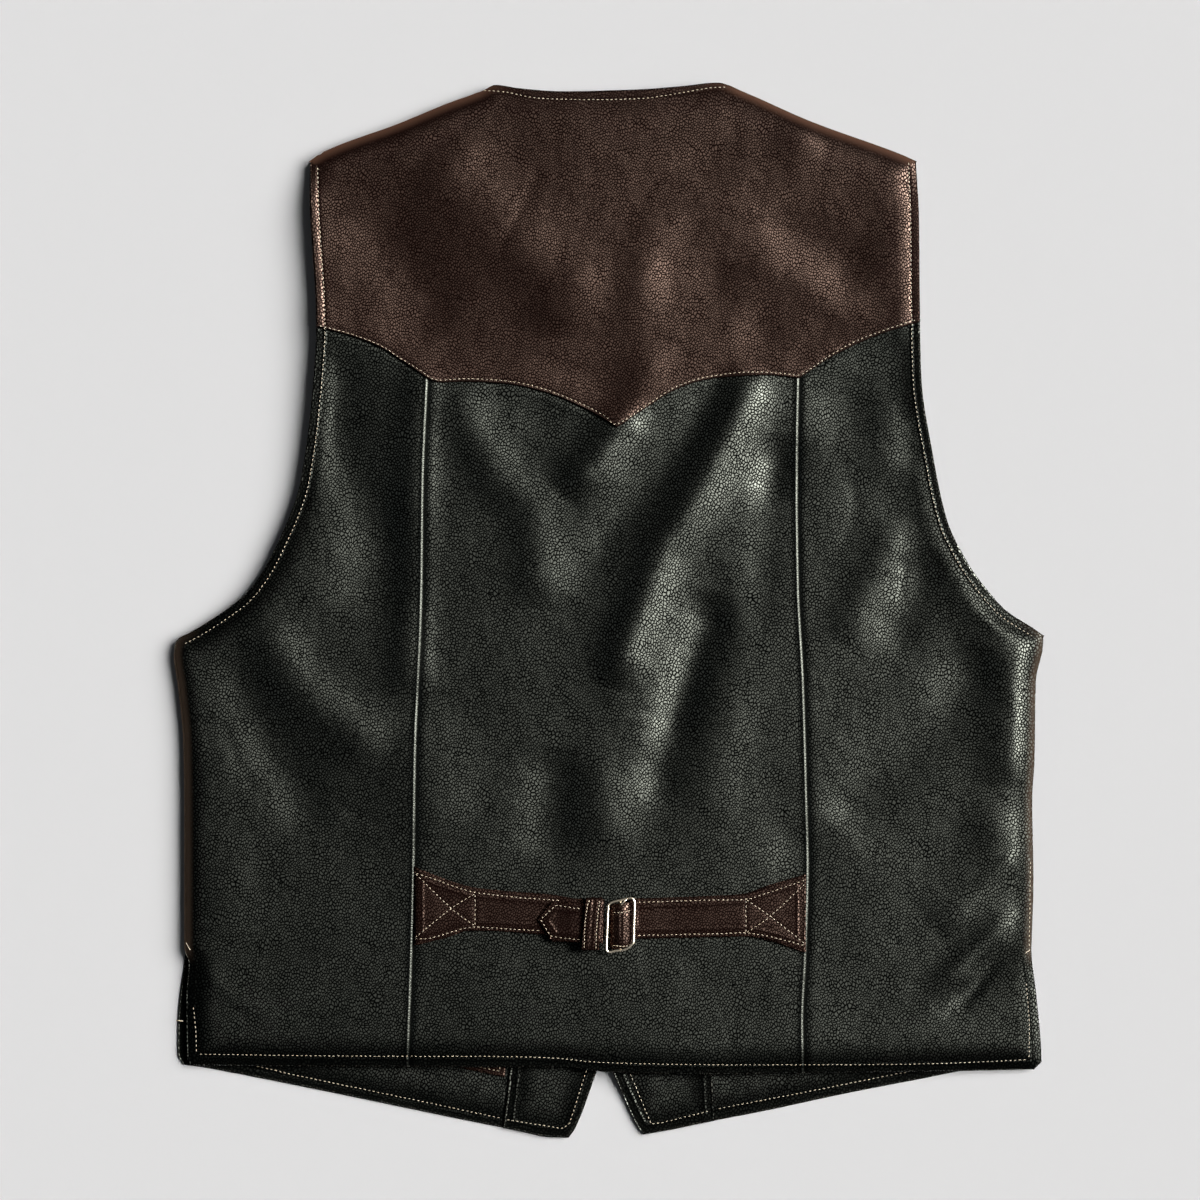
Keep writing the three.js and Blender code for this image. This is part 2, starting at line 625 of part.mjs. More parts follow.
function backYoke() {
  const [from, to] = [neckAndShoulders[0].x, neckAndShoulders.at(-1).x];
  const span = seamEnds.right - seamEnds.left;
  const part = (a, b, columns) => columns.map((u) => (lerp(a, b, u) - seamEnds.left) / span);
  const across = [
    ...part(seamEnds.left, notchLeft, outerColumns),
    ...part(notchLeft, notchRight, centreColumns).slice(1),
    ...part(notchRight, seamEnds.right, innerColumns).slice(1),
  ];
  const down = fill([0, 0.005, 0.02, 0.05, 1], 0.1);
  const edges = {
    top: alongX(topY, from, to),
    bottom: alongX(yokeY, seamEnds.left, seamEnds.right, seamDrop),
    left: alongY(leftX, topY(from), yokeY(seamEnds.left) + seamDrop),
    right: alongY(rightX, topY(to), yokeY(seamEnds.right) + seamDrop),
  };
  return wallFrom(patch(edges, across, down).map((row) => row.map(backPoint)));
}

function centreBack() {
  const [topLeft, topRight] = [notchLeft + half, notchRight - half];
  const [lowLeft, lowRight] = [leftSeam.at(-1).x + half, rightSeam.at(-1).x - half];
  const down = fill([0, 0.95, 0.98, 1], 0.034);
  const edges = {
    top: alongX(yokeY, topLeft, topRight, -seamDrop),
    bottom: alongX(hemY, lowLeft, lowRight),
    left: alongY(leftSeamX, yokeY(topLeft) - seamDrop, hemY(lowLeft), half),
    right: alongY(rightSeamX, yokeY(topRight) - seamDrop, hemY(lowRight), -half),
  };
  return wallFrom(patch(edges, centreColumns, down).map((row) => row.map(backPoint)));
}

const outerRows = (atPit, atVent) =>
  fill([0, atPit - 0.02, atPit, atVent, atVent + 0.017, 0.95, 0.98, 1], 0.038);

function sideBackLeft() {
  const [topOuter, topInner] = [seamEnds.left, notchLeft - half];
  const lowInner = leftSeam.at(-1).x - half;
  const high = yokeY(topOuter) - seamDrop;
  const low = hemY(leftEdge.at(-1).x);
  const at = (y) => (high - y) / (high - low);
  const edges = {
    top: alongX(yokeY, topOuter, topInner, -seamDrop),
    bottom: alongX(hemY, leftEdge.at(-1).x, lowInner),
    left: alongY(leftX, high, low),
    right: alongY(leftSeamX, yokeY(topInner) - seamDrop, hemY(lowInner), -half),
  };
  const rows = outerRows(at(pit.left), at(vent));
  return wallFrom(patch(edges, outerColumns, rows).map((row) => row.map(backPoint)));
}

function sideBackRight() {
  const [topInner, topOuter] = [notchRight + half, seamEnds.right];
  const lowInner = rightSeam.at(-1).x + half;
  const high = yokeY(topOuter) - seamDrop;
  const low = hemY(rightEdge.at(-1).x);
  const at = (y) => (high - y) / (high - low);
  const edges = {
    top: alongX(yokeY, topInner, topOuter, -seamDrop),
    bottom: alongX(hemY, lowInner, rightEdge.at(-1).x),
    left: alongY(rightSeamX, yokeY(topInner) - seamDrop, hemY(lowInner), half),
    right: alongY(rightX, high, low),
  };
  const rows = outerRows(at(pit.right), at(vent));
  return wallFrom(patch(edges, innerColumns, rows).map((row) => row.map(backPoint)));
}

// How far the right front is lifted where it lies on the left one.
const lowerFrontEdge = through(centreEdgeLeft, 'y', 'x');
function liftRight(x, y) {
  const reach = Math.max(lowerFrontEdge(y - liftReach), lowerFrontEdge(y));
  const past = x - reach - rampStart;
  const below = smooth((y - liftEnds.low) / liftEnds.lowBlend);
  const above = smooth((liftEnds.high - y) / liftEnds.highBlend);
  return frontLift * (1 - smooth(past / rampWidth)) * below * above;
}

// Inside and outside (lower) points of a front. It turns up at the side and shoulder seams.
function frontPoint([x, y], lift) {
  const edge = nearestEdge(x, y);
  const { low, middle, reach, blend } = sewnShoulder;
  const onShoulder = y > low;
  const tipFade = smooth((reach - Math.abs(x - middle)) / blend);
  const onSide = y > sewnSide.low && y < sewnSide.high ? 1 : 0;
  const sewn = edge.seam * (onShoulder ? tipFade : onSide);
  const seamHeight = (onShoulder ? shoulderSeamHeight : sideSeamHeight) - half;
  const t = clamp(edge.distance / frontRoll, 0, 1);
  const level = edge.distance < 0.3 ? 0 : Math.sqrt(1 - (1 - t) ** 2);
  const turn = lerp(1, level, sewn);
  const inwards = Math.sqrt(1 - turn * turn);
  const outside = new THREE.Vector3(x, y, lift + seamHeight * sewn * (1 - level));
  const inside = outside.clone();
  inside.x += edge.inward[0] * inwards * wall;
  inside.y += edge.inward[1] * inwards * wall;
  inside.z += turn * wall;
  return [inside, outside];
}

// A front is two patches side by side, the main one and the strip that the facing covers.
function frontGrid(table) {
  const { outer, facing, centre, hem, shoulder, columns, strip, rows, lift } = table;
  const outerX = through(outer, 'y', 'x');
  const facingX = through(facing, 'y', 'x');
  const centreX = through(centre, 'y', 'x');
  const hemLine = through(hem, 'x', 'y');
  const shoulderX = [outer[0].x, facing[0].x, centre[0].x];
  const hemX = [outer.at(-1).x, facing.at(-1).x, centre.at(-1).x];
  const along = [outerX, facingX, centreX].map((curve, i) =>
    alongY(curve, topY(shoulderX[i]), hemLine(hemX[i])),
  );
  const part = (i, across) =>
    patch(
      {
        top: alongX(topY, shoulderX[i], shoulderX[i + 1]),
        bottom: alongX(hemLine, hemX[i], hemX[i + 1]),
        left: along[i],
        right: along[i + 1],
      },
      across,
      rows,
    );
  const [main, edge] = [part(0, columns), part(1, strip)];
  const place = (p) => frontPoint(p, lift(...p));
  return main.map((row, i) => {
    const points = [...row, ...edge[i].slice(1)].map(place);
    return { points, strip: points.slice(row.length - 1), y: edge[i][0][1] };
  });
}

const frontColumns = fill([0, 0.006, 0.02, 0.045, 1], 0.24);
const frontRows = fill(
  [0, 0.004, 0.016, 0.035, 0.34, 0.372, 0.407, 0.505, 0.522, 0.536, 0.86, 0.873, 0.893, 0.919, 0.937, 1],
  0.09,
);

const gridLeft = frontGrid({
  outer: frontOuterLeft,
  facing: facingEdgeLeft,
  centre: centreEdgeLeft,
  hem: frontHemLeft,
  columns: frontColumns,
  strip: fill([0, 1], 0.34),
  rows: frontRows,
  lift: () => 0,
});
const gridRight = frontGrid({
  outer: frontOuterRight,
  facing: facingEdgeRight,
  centre: centreEdgeRight,
  hem: frontHemRight,
  columns: frontColumns,
  strip: fill([0, 1], 0.17),
  rows: frontRows,
  lift: liftRight,
});

// The facing covers the strip: its points are the front's inside points, moved up.
function facing(grid) {
  const below = grid.filter((row) => row.y < facingTop);
  return below.map((row) =>
    row.strip.map(([inside]) => {
      const up = (by) => inside.clone().add(new THREE.Vector3(0, 0, by));
      return [up(seamGap + thinWall), up(seamGap)];
    }),
  );
}

// A piece that lies flat on the lower front's inside.
function onFront(edges, across, down) {
  const low = wall + seamGap;
  return patch(edges, across, down).map((row) =>
    row.map(([x, y]) => [new THREE.Vector3(x, y, low + thinWall), new THREE.Vector3(x, y, low)]),
  );
}

function innerPocket() {
  const low = (x) => pocket.bottom + (x - pocket.right) * pocket.slope;
  const corner = 4;
  const lowEdge = (t) => {
    const x = lerp(pocket.left, pocket.right, t);
    return [x, low(x)];
  };
  const highEdge = (t) => {
    const x = lerp(pocket.left, pocket.right + corner, t);
    return [x, low(x) + pocket.height];
  };
  const side = (t0, t1) => (t) => [lerp(t1[0], t0[0], t), lerp(t1[1], t0[1], t)];
  const edges = {
    top: highEdge,
    bottom: lowEdge,
    left: side(lowEdge(0), highEdge(0)),
    right: side(lowEdge(1), highEdge(1)),
  };
  return wallFrom(onFront(edges, fill([0, 1], 0.34), fill([0, 1], 0.34)));
}

// Snaps: a cap let into the lower front, a post through all layers, and a rim on the inside.
const snapTop = frontLift + wall + seamGap + thinWall + seamGap;
function snapBody() {
  const { capRadius, capDepth, postRadius } = snapHeads;
  const profile = [
    [0, 0],
    [capRadius, 0],
    [capRadius, capDepth],
    [postRadius, capDepth],
    [postRadius, snapTop],
    [snapRim.radius, snapTop],
    [snapRim.radius, snapTop + snapRim.depth],
    [0, snapTop + snapRim.depth],
  ].map(([r, z]) => new THREE.Vector2(r, z));
  const geometry = new THREE.LatheGeometry(profile, 12);
  geometry.rotateX(Math.PI / 2);
  return geometry;
}
const snapPlaces = Array.from({ length: snapHeads.count }, (_, i) => snapHeads.top - i * snapHeads.pitch);

// Holes for the snaps in one layer: a wide one for the cap, a narrow one for the post.
function punched(pairs, withCap) {
  const disc = (radius, low, high, y) => {
    const geometry = new THREE.CylinderGeometry(radius, radius, high - low, 12);
    geometry.rotateX(Math.PI / 2);
    geometry.translate(0, y, (low + high) / 2);
    return solidOf(geometry);
  };
  const cleared = snapPlaces.reduce((layer, y) => {
    const drilled = layer.subtract(disc(snapHeads.postRadius + punchRoom, -2, snapTop + 2, y));
    if (!withCap) return drilled;
    return drilled.subtract(disc(snapHeads.capRadius + punchRoom, -2, snapHeads.capDepth + 0.1, y));
  }, solidOf(wallFrom(pairs)));
  return geometryOf(cleared);
}

// The belt lies on the back: its points are the back's, moved out along Z.
const onBack = (x, y, out) => new THREE.Vector3(x, y, backTop(x, y) + out);
const beltRest = 0.5;

// The straps step up where they pass through the keeper.
const strapLift = (x) => beltRest + 1.3 * smooth((x + 34) / 12) * smooth((4 - x) / 4);

function strap(upper, lower, from, to, lift, count, rows = 5) {
  const [high, low] = [through(upper, 'x', 'y'), through(lower, 'x', 'y')];
  const across = fill([0, 1], 1 / count);
  const down = fill([0, 1], 1 / rows);
  return wallFrom(
    down.map((v) =>
      across.map((u) => {
        const x = lerp(from, to, u);
        const y = lerp(high(x), low(x), v);
        return [onBack(x, y, lift(x) + strapWall), onBack(x, y, lift(x))];
      }),
    ),
  );
}

function beltTongue() {
  const { tip, shoulder, end, upper, lower, middle } = tongue;
  const rows = fill([0, 0.5, 1], 0.25);
  const across = [0, 0.45, 1];
  const tipPart = across.map((u) => lerp(tip, shoulder, u));
  const straight = fill([0, 1], 0.2).slice(1).map((u) => lerp(shoulder, end, u));
  const columns = [...tipPart, ...straight];
  const out = (x) => strapLift(x) + strapWall + seamGap;
  return wallFrom(
    rows.map((v) =>
      columns.map((x) => {
        const open = clamp((x - tip) / (shoulder - tip), 0.04, 1);
        const y = lerp(lerp(middle, upper, open), lerp(middle, lower, open), v);
        return [onBack(x, y, out(x) + strapWall), onBack(x, y, out(x))];
      }),
    ),
  );
}

// A band round both straps: rounded rectangle in section, closed round its loop.
function beltKeeper() {
  const { from, to, upper, lower } = keeper;
  const middleY = (upper + lower) / 2;
  const halfWidth = (upper - lower) / 2;
  const low = 0.3;
  const high = strapLift(-10) + 2 * (strapWall + seamGap) + thinWall;
  const steps = 22;
  const ring = Array.from({ length: steps }, (_, i) => (2 * Math.PI * i) / steps);
  const squared = (value, power) => Math.sign(value) * Math.abs(value) ** power;
  const rim = (angle, inset) => {
    const y = (halfWidth - inset) * squared(Math.cos(angle), 0.35);
    const z = ((high - low) / 2 - inset * 0.9) * squared(Math.sin(angle), 0.6);
    return [middleY + y, (high + low) / 2 + z];
  };
  const floor = backTop((from + to) / 2, middleY);
  return wallFrom(
    ring.map((angle) =>
      fill([0, 1], 0.5).map((u) => {
        const x = lerp(from, to, u);
        const [outside, inside] = [rim(angle, 0), rim(angle, 0.85)];
        return [outside, inside].map(([y, z]) => new THREE.Vector3(x, y, floor + z));
      }),
    ),
    true,
  );
}

// The tab arches over the buckle's middle bar.
function buckleTab() {
  const { from, to, upper, lower, crown } = tab;
  const floor = backTop((from + to) / 2, (upper + lower) / 2);
  const across = fill([0, 1], 0.1);
  return wallFrom(
    fill([0, 1], 0.25).map((v) =>
      across.map((u) => {
        const x = lerp(from, to, u);
        const y = lerp(upper, lower, v);
        const z = lerp(beltRest, crown - thinWall, Math.sin(Math.PI * u) ** 0.75);
        return [z + thinWall, z].map((height) => new THREE.Vector3(x, y, floor + height));
      }),
    ),
  );
}

// Wire frame with round corners, and its middle bar under the tab.
function buckleFrame() {
  const { from, to, upper, lower, wire, corner } = buckle;
  const radius = wire / 2;
  const [left, right] = [from + radius, to - radius];
  const [high, low] = [upper - radius, lower + radius];
  const centres = [
    [right - corner, high - corner, 0],
    [left + corner, high - corner, 1],
    [left + corner, low + corner, 2],
    [right - corner, low + corner, 3],
  ];
  const arc = 5;
  const route = centres.flatMap(([cx, cy, quarter]) =>
    Array.from({ length: arc }, (_, i) => {
      const angle = (Math.PI / 2) * (quarter + i / (arc - 1));
      const out = new THREE.Vector3(Math.cos(angle), Math.sin(angle), 0);
      return { at: new THREE.Vector3(cx, cy, 0).addScaledVector(out, corner), out };
    }),
  );
  const sides = 8;
  const positions = route.flatMap(({ at, out }) =>
    Array.from({ length: sides }, (_, k) => {
      const turn = (2 * Math.PI * k) / sides;
      const point = at.clone().addScaledVector(out, radius * Math.cos(turn));
      point.z += radius * Math.sin(turn);
      return point.toArray();
    }).flat(),
  );
  const faces = [];
  route.forEach((_, i) => {
    const next = (i + 1) % route.length;
    for (let k = 0; k < sides; k += 1) {
      const k2 = (k + 1) % sides;
      const [a, b] = [i * sides + k, i * sides + k2];
      const [c, d] = [next * sides + k2, next * sides + k];
      faces.push(a, b, c, a, c, d);
    }
  });
  const bar = new THREE.CylinderGeometry(radius * 0.9, radius * 0.9, high - low, sides);
  bar.translate((left + right) / 2, (high + low) / 2, 0);
  const frame = geometryOf(solidOf(facingOut(positions, faces)).add(solidOf(bar)));
  const floor = backTop((tab.from + tab.to) / 2, (tab.upper + tab.lower) / 2);
  frame.translate(0, 0, floor + tab.crown - thinWall - seamGap - radius);
  return frame;
}

// Colours and finishes
const finishes = {
  black: { color: 0x1b1e1d, roughness: 0.5, metalness: 0 },
  brown: { color: 0x3f2a24, roughness: 0.5, metalness: 0 },
  silver: { color: 0xc8bfae, roughness: 0.28, metalness: 1 },
};

const vest = new THREE.Group();
function add(name, finish, geometry) {
  const mesh = new THREE.Mesh(geometry, new THREE.MeshStandardMaterial(finishes[finish]));
  mesh.name = name;
  vest.add(mesh);
  return mesh;
}

add('back_yoke', 'brown', backYoke());
add('centre_back', 'black', centreBack());
add('side_back_left', 'black', sideBackLeft());
add('side_back_right', 'black', sideBackRight());
add('front_left', 'black', punched(gridLeft.map((row) => row.points), true));
add('front_right', 'black', punched(gridRight.map((row) => row.points), false));
add('facing_left', 'black', punched(facing(gridLeft), false));
add('facing_right', 'black', punched(facing(gridRight), false));
add('inner_pocket', 'brown', innerPocket());
add('belt_strap_left', 'brown', strap(strapLeftUpper, strapLeftLower, -125.2, -3, strapLift, 16));
add('belt_strap_right', 'brown', strap(strapRightUpper, strapRightLower, 15.8, 126.3, () => beltRest, 14));
add('belt_tongue', 'brown', beltTongue());
add('belt_keeper', 'brown', beltKeeper());
add('buckle_tab', 'brown', buckleTab());
add('buckle_frame', 'silver', buckleFrame());
snapPlaces.forEach((y, i) => {
  add(`snap_${i + 1}`, 'silver', snapBody()).position.set(0, y, 0);
});

export default vest;
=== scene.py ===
import json
import math

import bpy
import numpy as np
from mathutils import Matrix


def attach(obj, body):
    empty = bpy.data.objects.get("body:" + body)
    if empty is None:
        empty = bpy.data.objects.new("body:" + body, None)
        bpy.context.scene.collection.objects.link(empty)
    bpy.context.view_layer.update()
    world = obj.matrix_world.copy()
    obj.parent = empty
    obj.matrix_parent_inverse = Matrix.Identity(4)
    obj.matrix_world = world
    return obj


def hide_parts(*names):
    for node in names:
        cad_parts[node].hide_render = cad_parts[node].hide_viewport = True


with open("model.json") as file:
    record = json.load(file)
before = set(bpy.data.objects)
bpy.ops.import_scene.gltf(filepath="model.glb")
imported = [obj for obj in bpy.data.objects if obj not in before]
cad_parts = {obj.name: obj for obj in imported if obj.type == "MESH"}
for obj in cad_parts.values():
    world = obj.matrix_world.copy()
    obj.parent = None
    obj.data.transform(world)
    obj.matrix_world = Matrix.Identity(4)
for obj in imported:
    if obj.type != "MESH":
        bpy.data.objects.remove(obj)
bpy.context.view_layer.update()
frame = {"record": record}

# A leather vest laid flat on its fronts, seen from straight above.
# Sizes are in millimetres here, and become metres where a mesh is made.

mm = 0.001
rng = np.random.default_rng(7)

shot = {
    "centre": (-5.8, 6.8),  # middle of the picture, in the vest's plan
    "width": 774.6,  # plan width that the picture takes in
    "height": 2300.0,  # camera above the surface
    "sensor": 36.0,
}

# Suns: direction, apparent width and power. The room's lights the floor and makes the shadows,
# and the others make only the sheen of the leather.
light = {
    "room": {"turn": 14.0, "rise": 40.0, "wide": 50.0, "power": 4.25, "color": (1.0, 0.985, 0.96)},
    "key": {"turn": 16.0, "rise": 36.0, "wide": 24.0, "power": 42.0, "color": (1.0, 0.955, 0.86)},
    "fill": {"turn": 190.0, "rise": 42.0, "wide": 60.0, "power": 0.2, "color": (0.78, 0.92, 1.0)},
    "world": 0.03,
    "worldColor": (0.92, 0.96, 1.0),
    "floor": (0.80, 0.805, 0.828),
}

# Body
body = {
    "wall": 1.4,
    "thinWall": 1.2,
    "strapWall": 1.6,
    "seamGap": 0.3,
    "sideSeamHeight": 5.5,
    "shoulderSeamHeight": 6.5,
    "frontRoll": 7.0,
    "plateauSide": 9.5,
    "plateauRise": 2.5,
    "plateauWidth": 150.0,
    "rampStart": 10.0,
    "rampWidth": 20.0,
    "liftReach": 22.0,
    "fitsBelow": 0.5,
    "turnedEdge": 0.9,  # extra thickness where an edge is turned under
    "turnedWidth": 7.0,
    "lap": 1.5,  # how far the yoke stands proud of the panels it laps
    "lapWidth": 26.0,
    "lapUnder": 7.0,  # how far the panels run up under it
    "seamOver": 0.5,  # how far the left panel of a side seam laps the right one
    "seamUnder": 0.2,  # how far the right one reaches under it
    "seamRise": 0.62,
    "rollInset": 1.25,  # the left panel ends in a roll: its crest's distance from the seam
    "rollHalf": 0.8,
    "seamDip": 1.15,
    "stitchInset": 5.5,
}
frontLift = body["wall"] + body["thinWall"] + 2 * body["seamGap"]

# Folds of the back: rise, half width, and the points they run through.
folds = [
    (6, 14, [(98, 158), (88, 139), (73, 107), (54, 71), (34, 39), (22, 7), (12, -19), (2, -50)]),
    (5.7, 14, [(36, 172), (23, 152), (8, 120), (-9, 94), (-30, 74)]),
    (-1.5, 12, [(81, 165), (54, 118), (28, 81), (0, 49), (-22, 8)]),
    (-5.5, 14, [(68, 13), (63, -9), (55, -29), (48, -51), (42, -71), (34, -100), (30, -128)]),
    (-4.5, 13, [(113, 114), (105, 81), (100, 49), (97, 20), (98, -20)]),
    (3, 16, [(-98, 150), (-90, 117), (-70, 84), (-50, 66), (-46, 33), (-50, 2)]),
    (-1.3, 18, [(-41, 142), (-51, 110)]),
    (3.3, 13, [(-119, 160), (-123, 107), (-127, 58), (-128, 7), (-128, -56)]),
    (-2.3, 16, [(-138, 70), (-135, -6)]),
    (3.4, 17, [(-230, -4), (-216, -22), (-199, -51), (-174, -72), (-143, -94)]),
    (-2.8, 20, [(-177, 172), (-177, 123), (-158, 71), (-154, 33), (-163, -4)]),
    (-2.4, 17, [(-240, -27), (-235, -51), (-222, -80), (-203, -109), (-187, -145)]),
    (1.1, 20, [(-256, -80), (-253, -116), (-248, -161), (-239, -220)]),
    (5, 28, [(-118, -62), (-119, -109), (-110, -152)]),
    (3.6, 17, [(-7, -92), (-5, -122), (2, -158)]),
    (-3.2, 18, [(-33, -86), (-38, -122), (-38, -165)]),
    (1.3, 17, [(81, -46), (73, -87), (67, -140)]),
    (-1.8, 16, [(117, -131), (121, -172)]),
    (-4.8, 22, [(150, 154), (150, 129), (148, 106)]),
    (1.8, 14, [(184, 136), (178, 104), (175, 78)]),
    (2.4, 13, [(190, 60), (168, 16), (147, -20)]),
    (-2.3, 14, [(208, 40), (191, 0), (176, -30)]),
    (4, 18, [(206, 104), (220, 46), (243, 0), (257, -32), (259, -71), (254, -114)]),
    (-2.6, 20, [(243, -25), (214, -71), (175, -103), (145, -140)]),
    (2.7, 16, [(255, -122), (248, -155), (227, -187), (208, -204)]),
    (-1.4, 12, [(252, -156), (233, -174), (208, -192)]),
    (3, 9, [(262, -190), (238, -218), (206, -248)]),
    (-2.5, 9, [(256, -214), (236, -241), (212, -263)]),
    (4.9, 25, [(-117, 294), (-83, 255), (-57, 229), (-34, 207), (-35, 176)]),
    (1.9, 21, [(-32, 210), (7, 210), (38, 221)]),
    (-2.7, 23, [(-157, 262), (-138, 229), (-125, 207), (-101, 183)]),
    (-1.3, 20, [(-70, 310), (-55, 286)]),
    (-1.7, 21, [(57, 308), (68, 277)]),
    (-2.3, 15, [(63, 227), (69, 203)]),
    (-2.8, 16, [(98, 252), (123, 242), (146, 228), (166, 209)]),
    (1.5, 13, [(82, 228), (101, 222), (123, 212), (149, 193), (179, 186)]),
    (-2, 17, [(79, 183), (119, 168)]),
    (3.5, 17, [(173, 288), (187, 252), (188, 207), (190, 165)]),
    (2.5, 21, [(106, 312), (142, 298)]),
]
foldEnd = 30.0
beltPress = {"x": -4.0, "y": -200.0, "wide": 48.0, "high": 26.0, "amount": 0.9}

# Edges of the back in plan: place along the edge, place across it, height of the outside,
# width of its rise to the plateau, 1 where it is sewn to a front, and 1 at a corner. In these
# tables a row leaves out the zeros at its end.
neckAndShoulders = [
    (-193, 289, 6.8, 16, 1), (-183, 295.5, 6.65, 12, 1), (-135, 313.5, 6.65, 11, 1),
    (-106, 325.5, 6.65, 11, 1), (-83, 334, 6.65, 11, 1), (-73, 338.5, 8, 14, 0.4), (-57, 336, 10, 24),
    (-30, 334, 10.5, 26), (20, 335.3, 10.5, 26), (45, 337.3, 10, 24), (70, 340, 8, 14, 0.4),
    (86, 334, 6.65, 11, 1), (130, 314.7, 6.65, 11, 1), (188, 293.5, 6.65, 12, 1), (198, 289, 6.8, 16, 1),
]
leftEdge = [
    (289, -193, 6.8, 16), (258, -192, 13, 24), (183, -188, 12.5, 26), (149, -190, 12, 26),
    (84, -198.3, 10.5, 24), (39, -215.6, 9.5, 24), (13, -232, 8.5, 22), (-9, -261.7, 6.6, 16),
    (-18, -278.3, 5.8, 12, 0.5, 1), (-27, -280.2, 5.65, 10, 1), (-51, -277.2, 5.65, 10, 1),
    (-84, -274.1, 5.65, 10, 1), (-122, -273.4, 5.65, 10, 1), (-219, -273.4, 5.65, 10, 1, 1),
    (-227, -271.2, 5, 14), (-248, -272.8, 4.6, 18), (-288, -272.2, 4.6, 18), (-293.4, -269.4, 4.6, 18),
]
rightEdge = [
    (289, 198, 6.8, 16), (252, 199.3, 10.5, 22), (186, 199.8, 11, 24), (149, 200.8, 11, 24),
    (102, 207.9, 10.5, 24), (58, 217.5, 10, 24), (32.6, 229.8, 9.2, 24), (16, 241.4, 8.4, 22),
    (0, 256.3, 7, 16), (-11, 273.4, 5.9, 12, 0.3), (-16, 279.8, 5.7, 10, 0.8, 1),
    (-24, 279.2, 5.65, 10, 1), (-46, 274.7, 5.65, 10, 1), (-96, 273.9, 5.65, 10, 1),
    (-122, 272.4, 5.65, 10, 1), (-174, 273.2, 5.65, 10, 1), (-219, 271.8, 5.65, 10, 1, 1),
    (-232, 273.7, 5, 14), (-251, 276.1, 4.6, 18), (-290, 279, 4.6, 18), (-296, 274, 4.6, 18),
]
backHem = [
    (-269.4, -293.4, 4.6, 18), (-190, -294, 6.5, 22), (-130, -294, 8.4, 22), (-60, -294, 9.8, 22),
    (-31, -294.2, 10, 22), (7, -297.6, 10.2, 22), (60, -298.8, 9.8, 22), (128, -298, 8.6, 22),
    (205, -297.2, 6.5, 22), (274, -296, 4.6, 18),
]

# Seams and the fronts' edges: place along, place across, and 1 at a corner.
yokeSeam = [
    (-188, 182), (-166.5, 176.5), (-146.5, 168.7), (-133.6, 160.6), (-116.4, 148.8, 1), (-108, 146.4),
    (-94, 146.9), (-68, 145.6), (-41.3, 140), (-15, 129.2), (5.2, 117.3, 1), (25.8, 131), (40.7, 140.6),
    (55.5, 146.4), (70.4, 149.4), (100, 151.2), (122.2, 149, 1), (144.3, 163.6), (173.6, 177),
    (199.8, 185.4),
]
leftSeam = [
    (146, -116.4), (84, -119), (-4, -120.3), (-84, -123.9), (-180, -125.5), (-294, -129.1),
]
rightSeam = [
    (149, 122), (84, 121), (18, 121.8), (-47, 125.1), (-122, 127.2), (-164, 128.2), (-223, 126.5),
    (-264, 124.6), (-298, 125.2),
]
frontOuterLeft = [
    (289, -193), (262, -178), (150, -158), (60, -172), (12, -204), (-14, -262), (-23, -279.6, 1),
    (-51, -277.2), (-84, -274.1), (-122, -273.4), (-219, -273.4, 1), (-232, -274.7), (-246, -276.8),
    (-264, -278.2), (-286, -278.5), (-293, -275),
]
frontOuterRight = [
    (289, 198), (262, 184), (150, 166), (60, 178), (12, 210), (-12, 262), (-20, 279.4, 1), (-46, 274.7),
    (-96, 273.9), (-122, 272.4), (-174, 273.2), (-219, 271.8, 1), (-251, 272.6), (-286, 273), (-291, 270),
]
centreEdgeLeft = [
    (337, -75), (300, -66), (200, -44), (110, -12), (62, 11.6, 1), (-245, 11.6, 1), (-296.6, -7.7),
    (-334, -21.8), (-340, -26),
]
centreEdgeRight = [
    (338, 73), (300, 65), (200, 44), (110, 12), (62, -11.6, 1), (-266, -11.6, 1), (-296.6, 1.9),
    (-332, 17.8), (-338, 22),
]
frontHemLeft = [
    (-275, -293), (-264, -294.4), (-238, -299.2), (-173.6, -312.1), (-96, -328.2), (-57, -336),
    (-38, -339.7), (-26, -340),
]
frontHemRight = [
    (22, -338), (37.4, -335.3), (62.6, -330.2), (102.6, -322.4), (150.4, -312.1), (203.3, -301.8),
    (232, -296.2), (270, -291),
]
facingEdgeLeft = [
    (317, -126), (220, -104), (120, -74), (60, -58), (-100, -56), (-294, -64), (-334, -68.4),
]
facingEdgeRight = [
    (316, 126), (220, 104), (120, 74), (60, 58), (-100, 60), (-298, 66.3), (-329, 67.8),
]
facingTop = 305.0
yokeTip = 5.2
notch = {"left": -116.4, "right": 122.2}


def lerp(a, b, t):
    return a + (b - a) * t


def smooth(t):
    s = np.clip(t, 0.0, 1.0)
    return s * s * (3.0 - 2.0 * s)


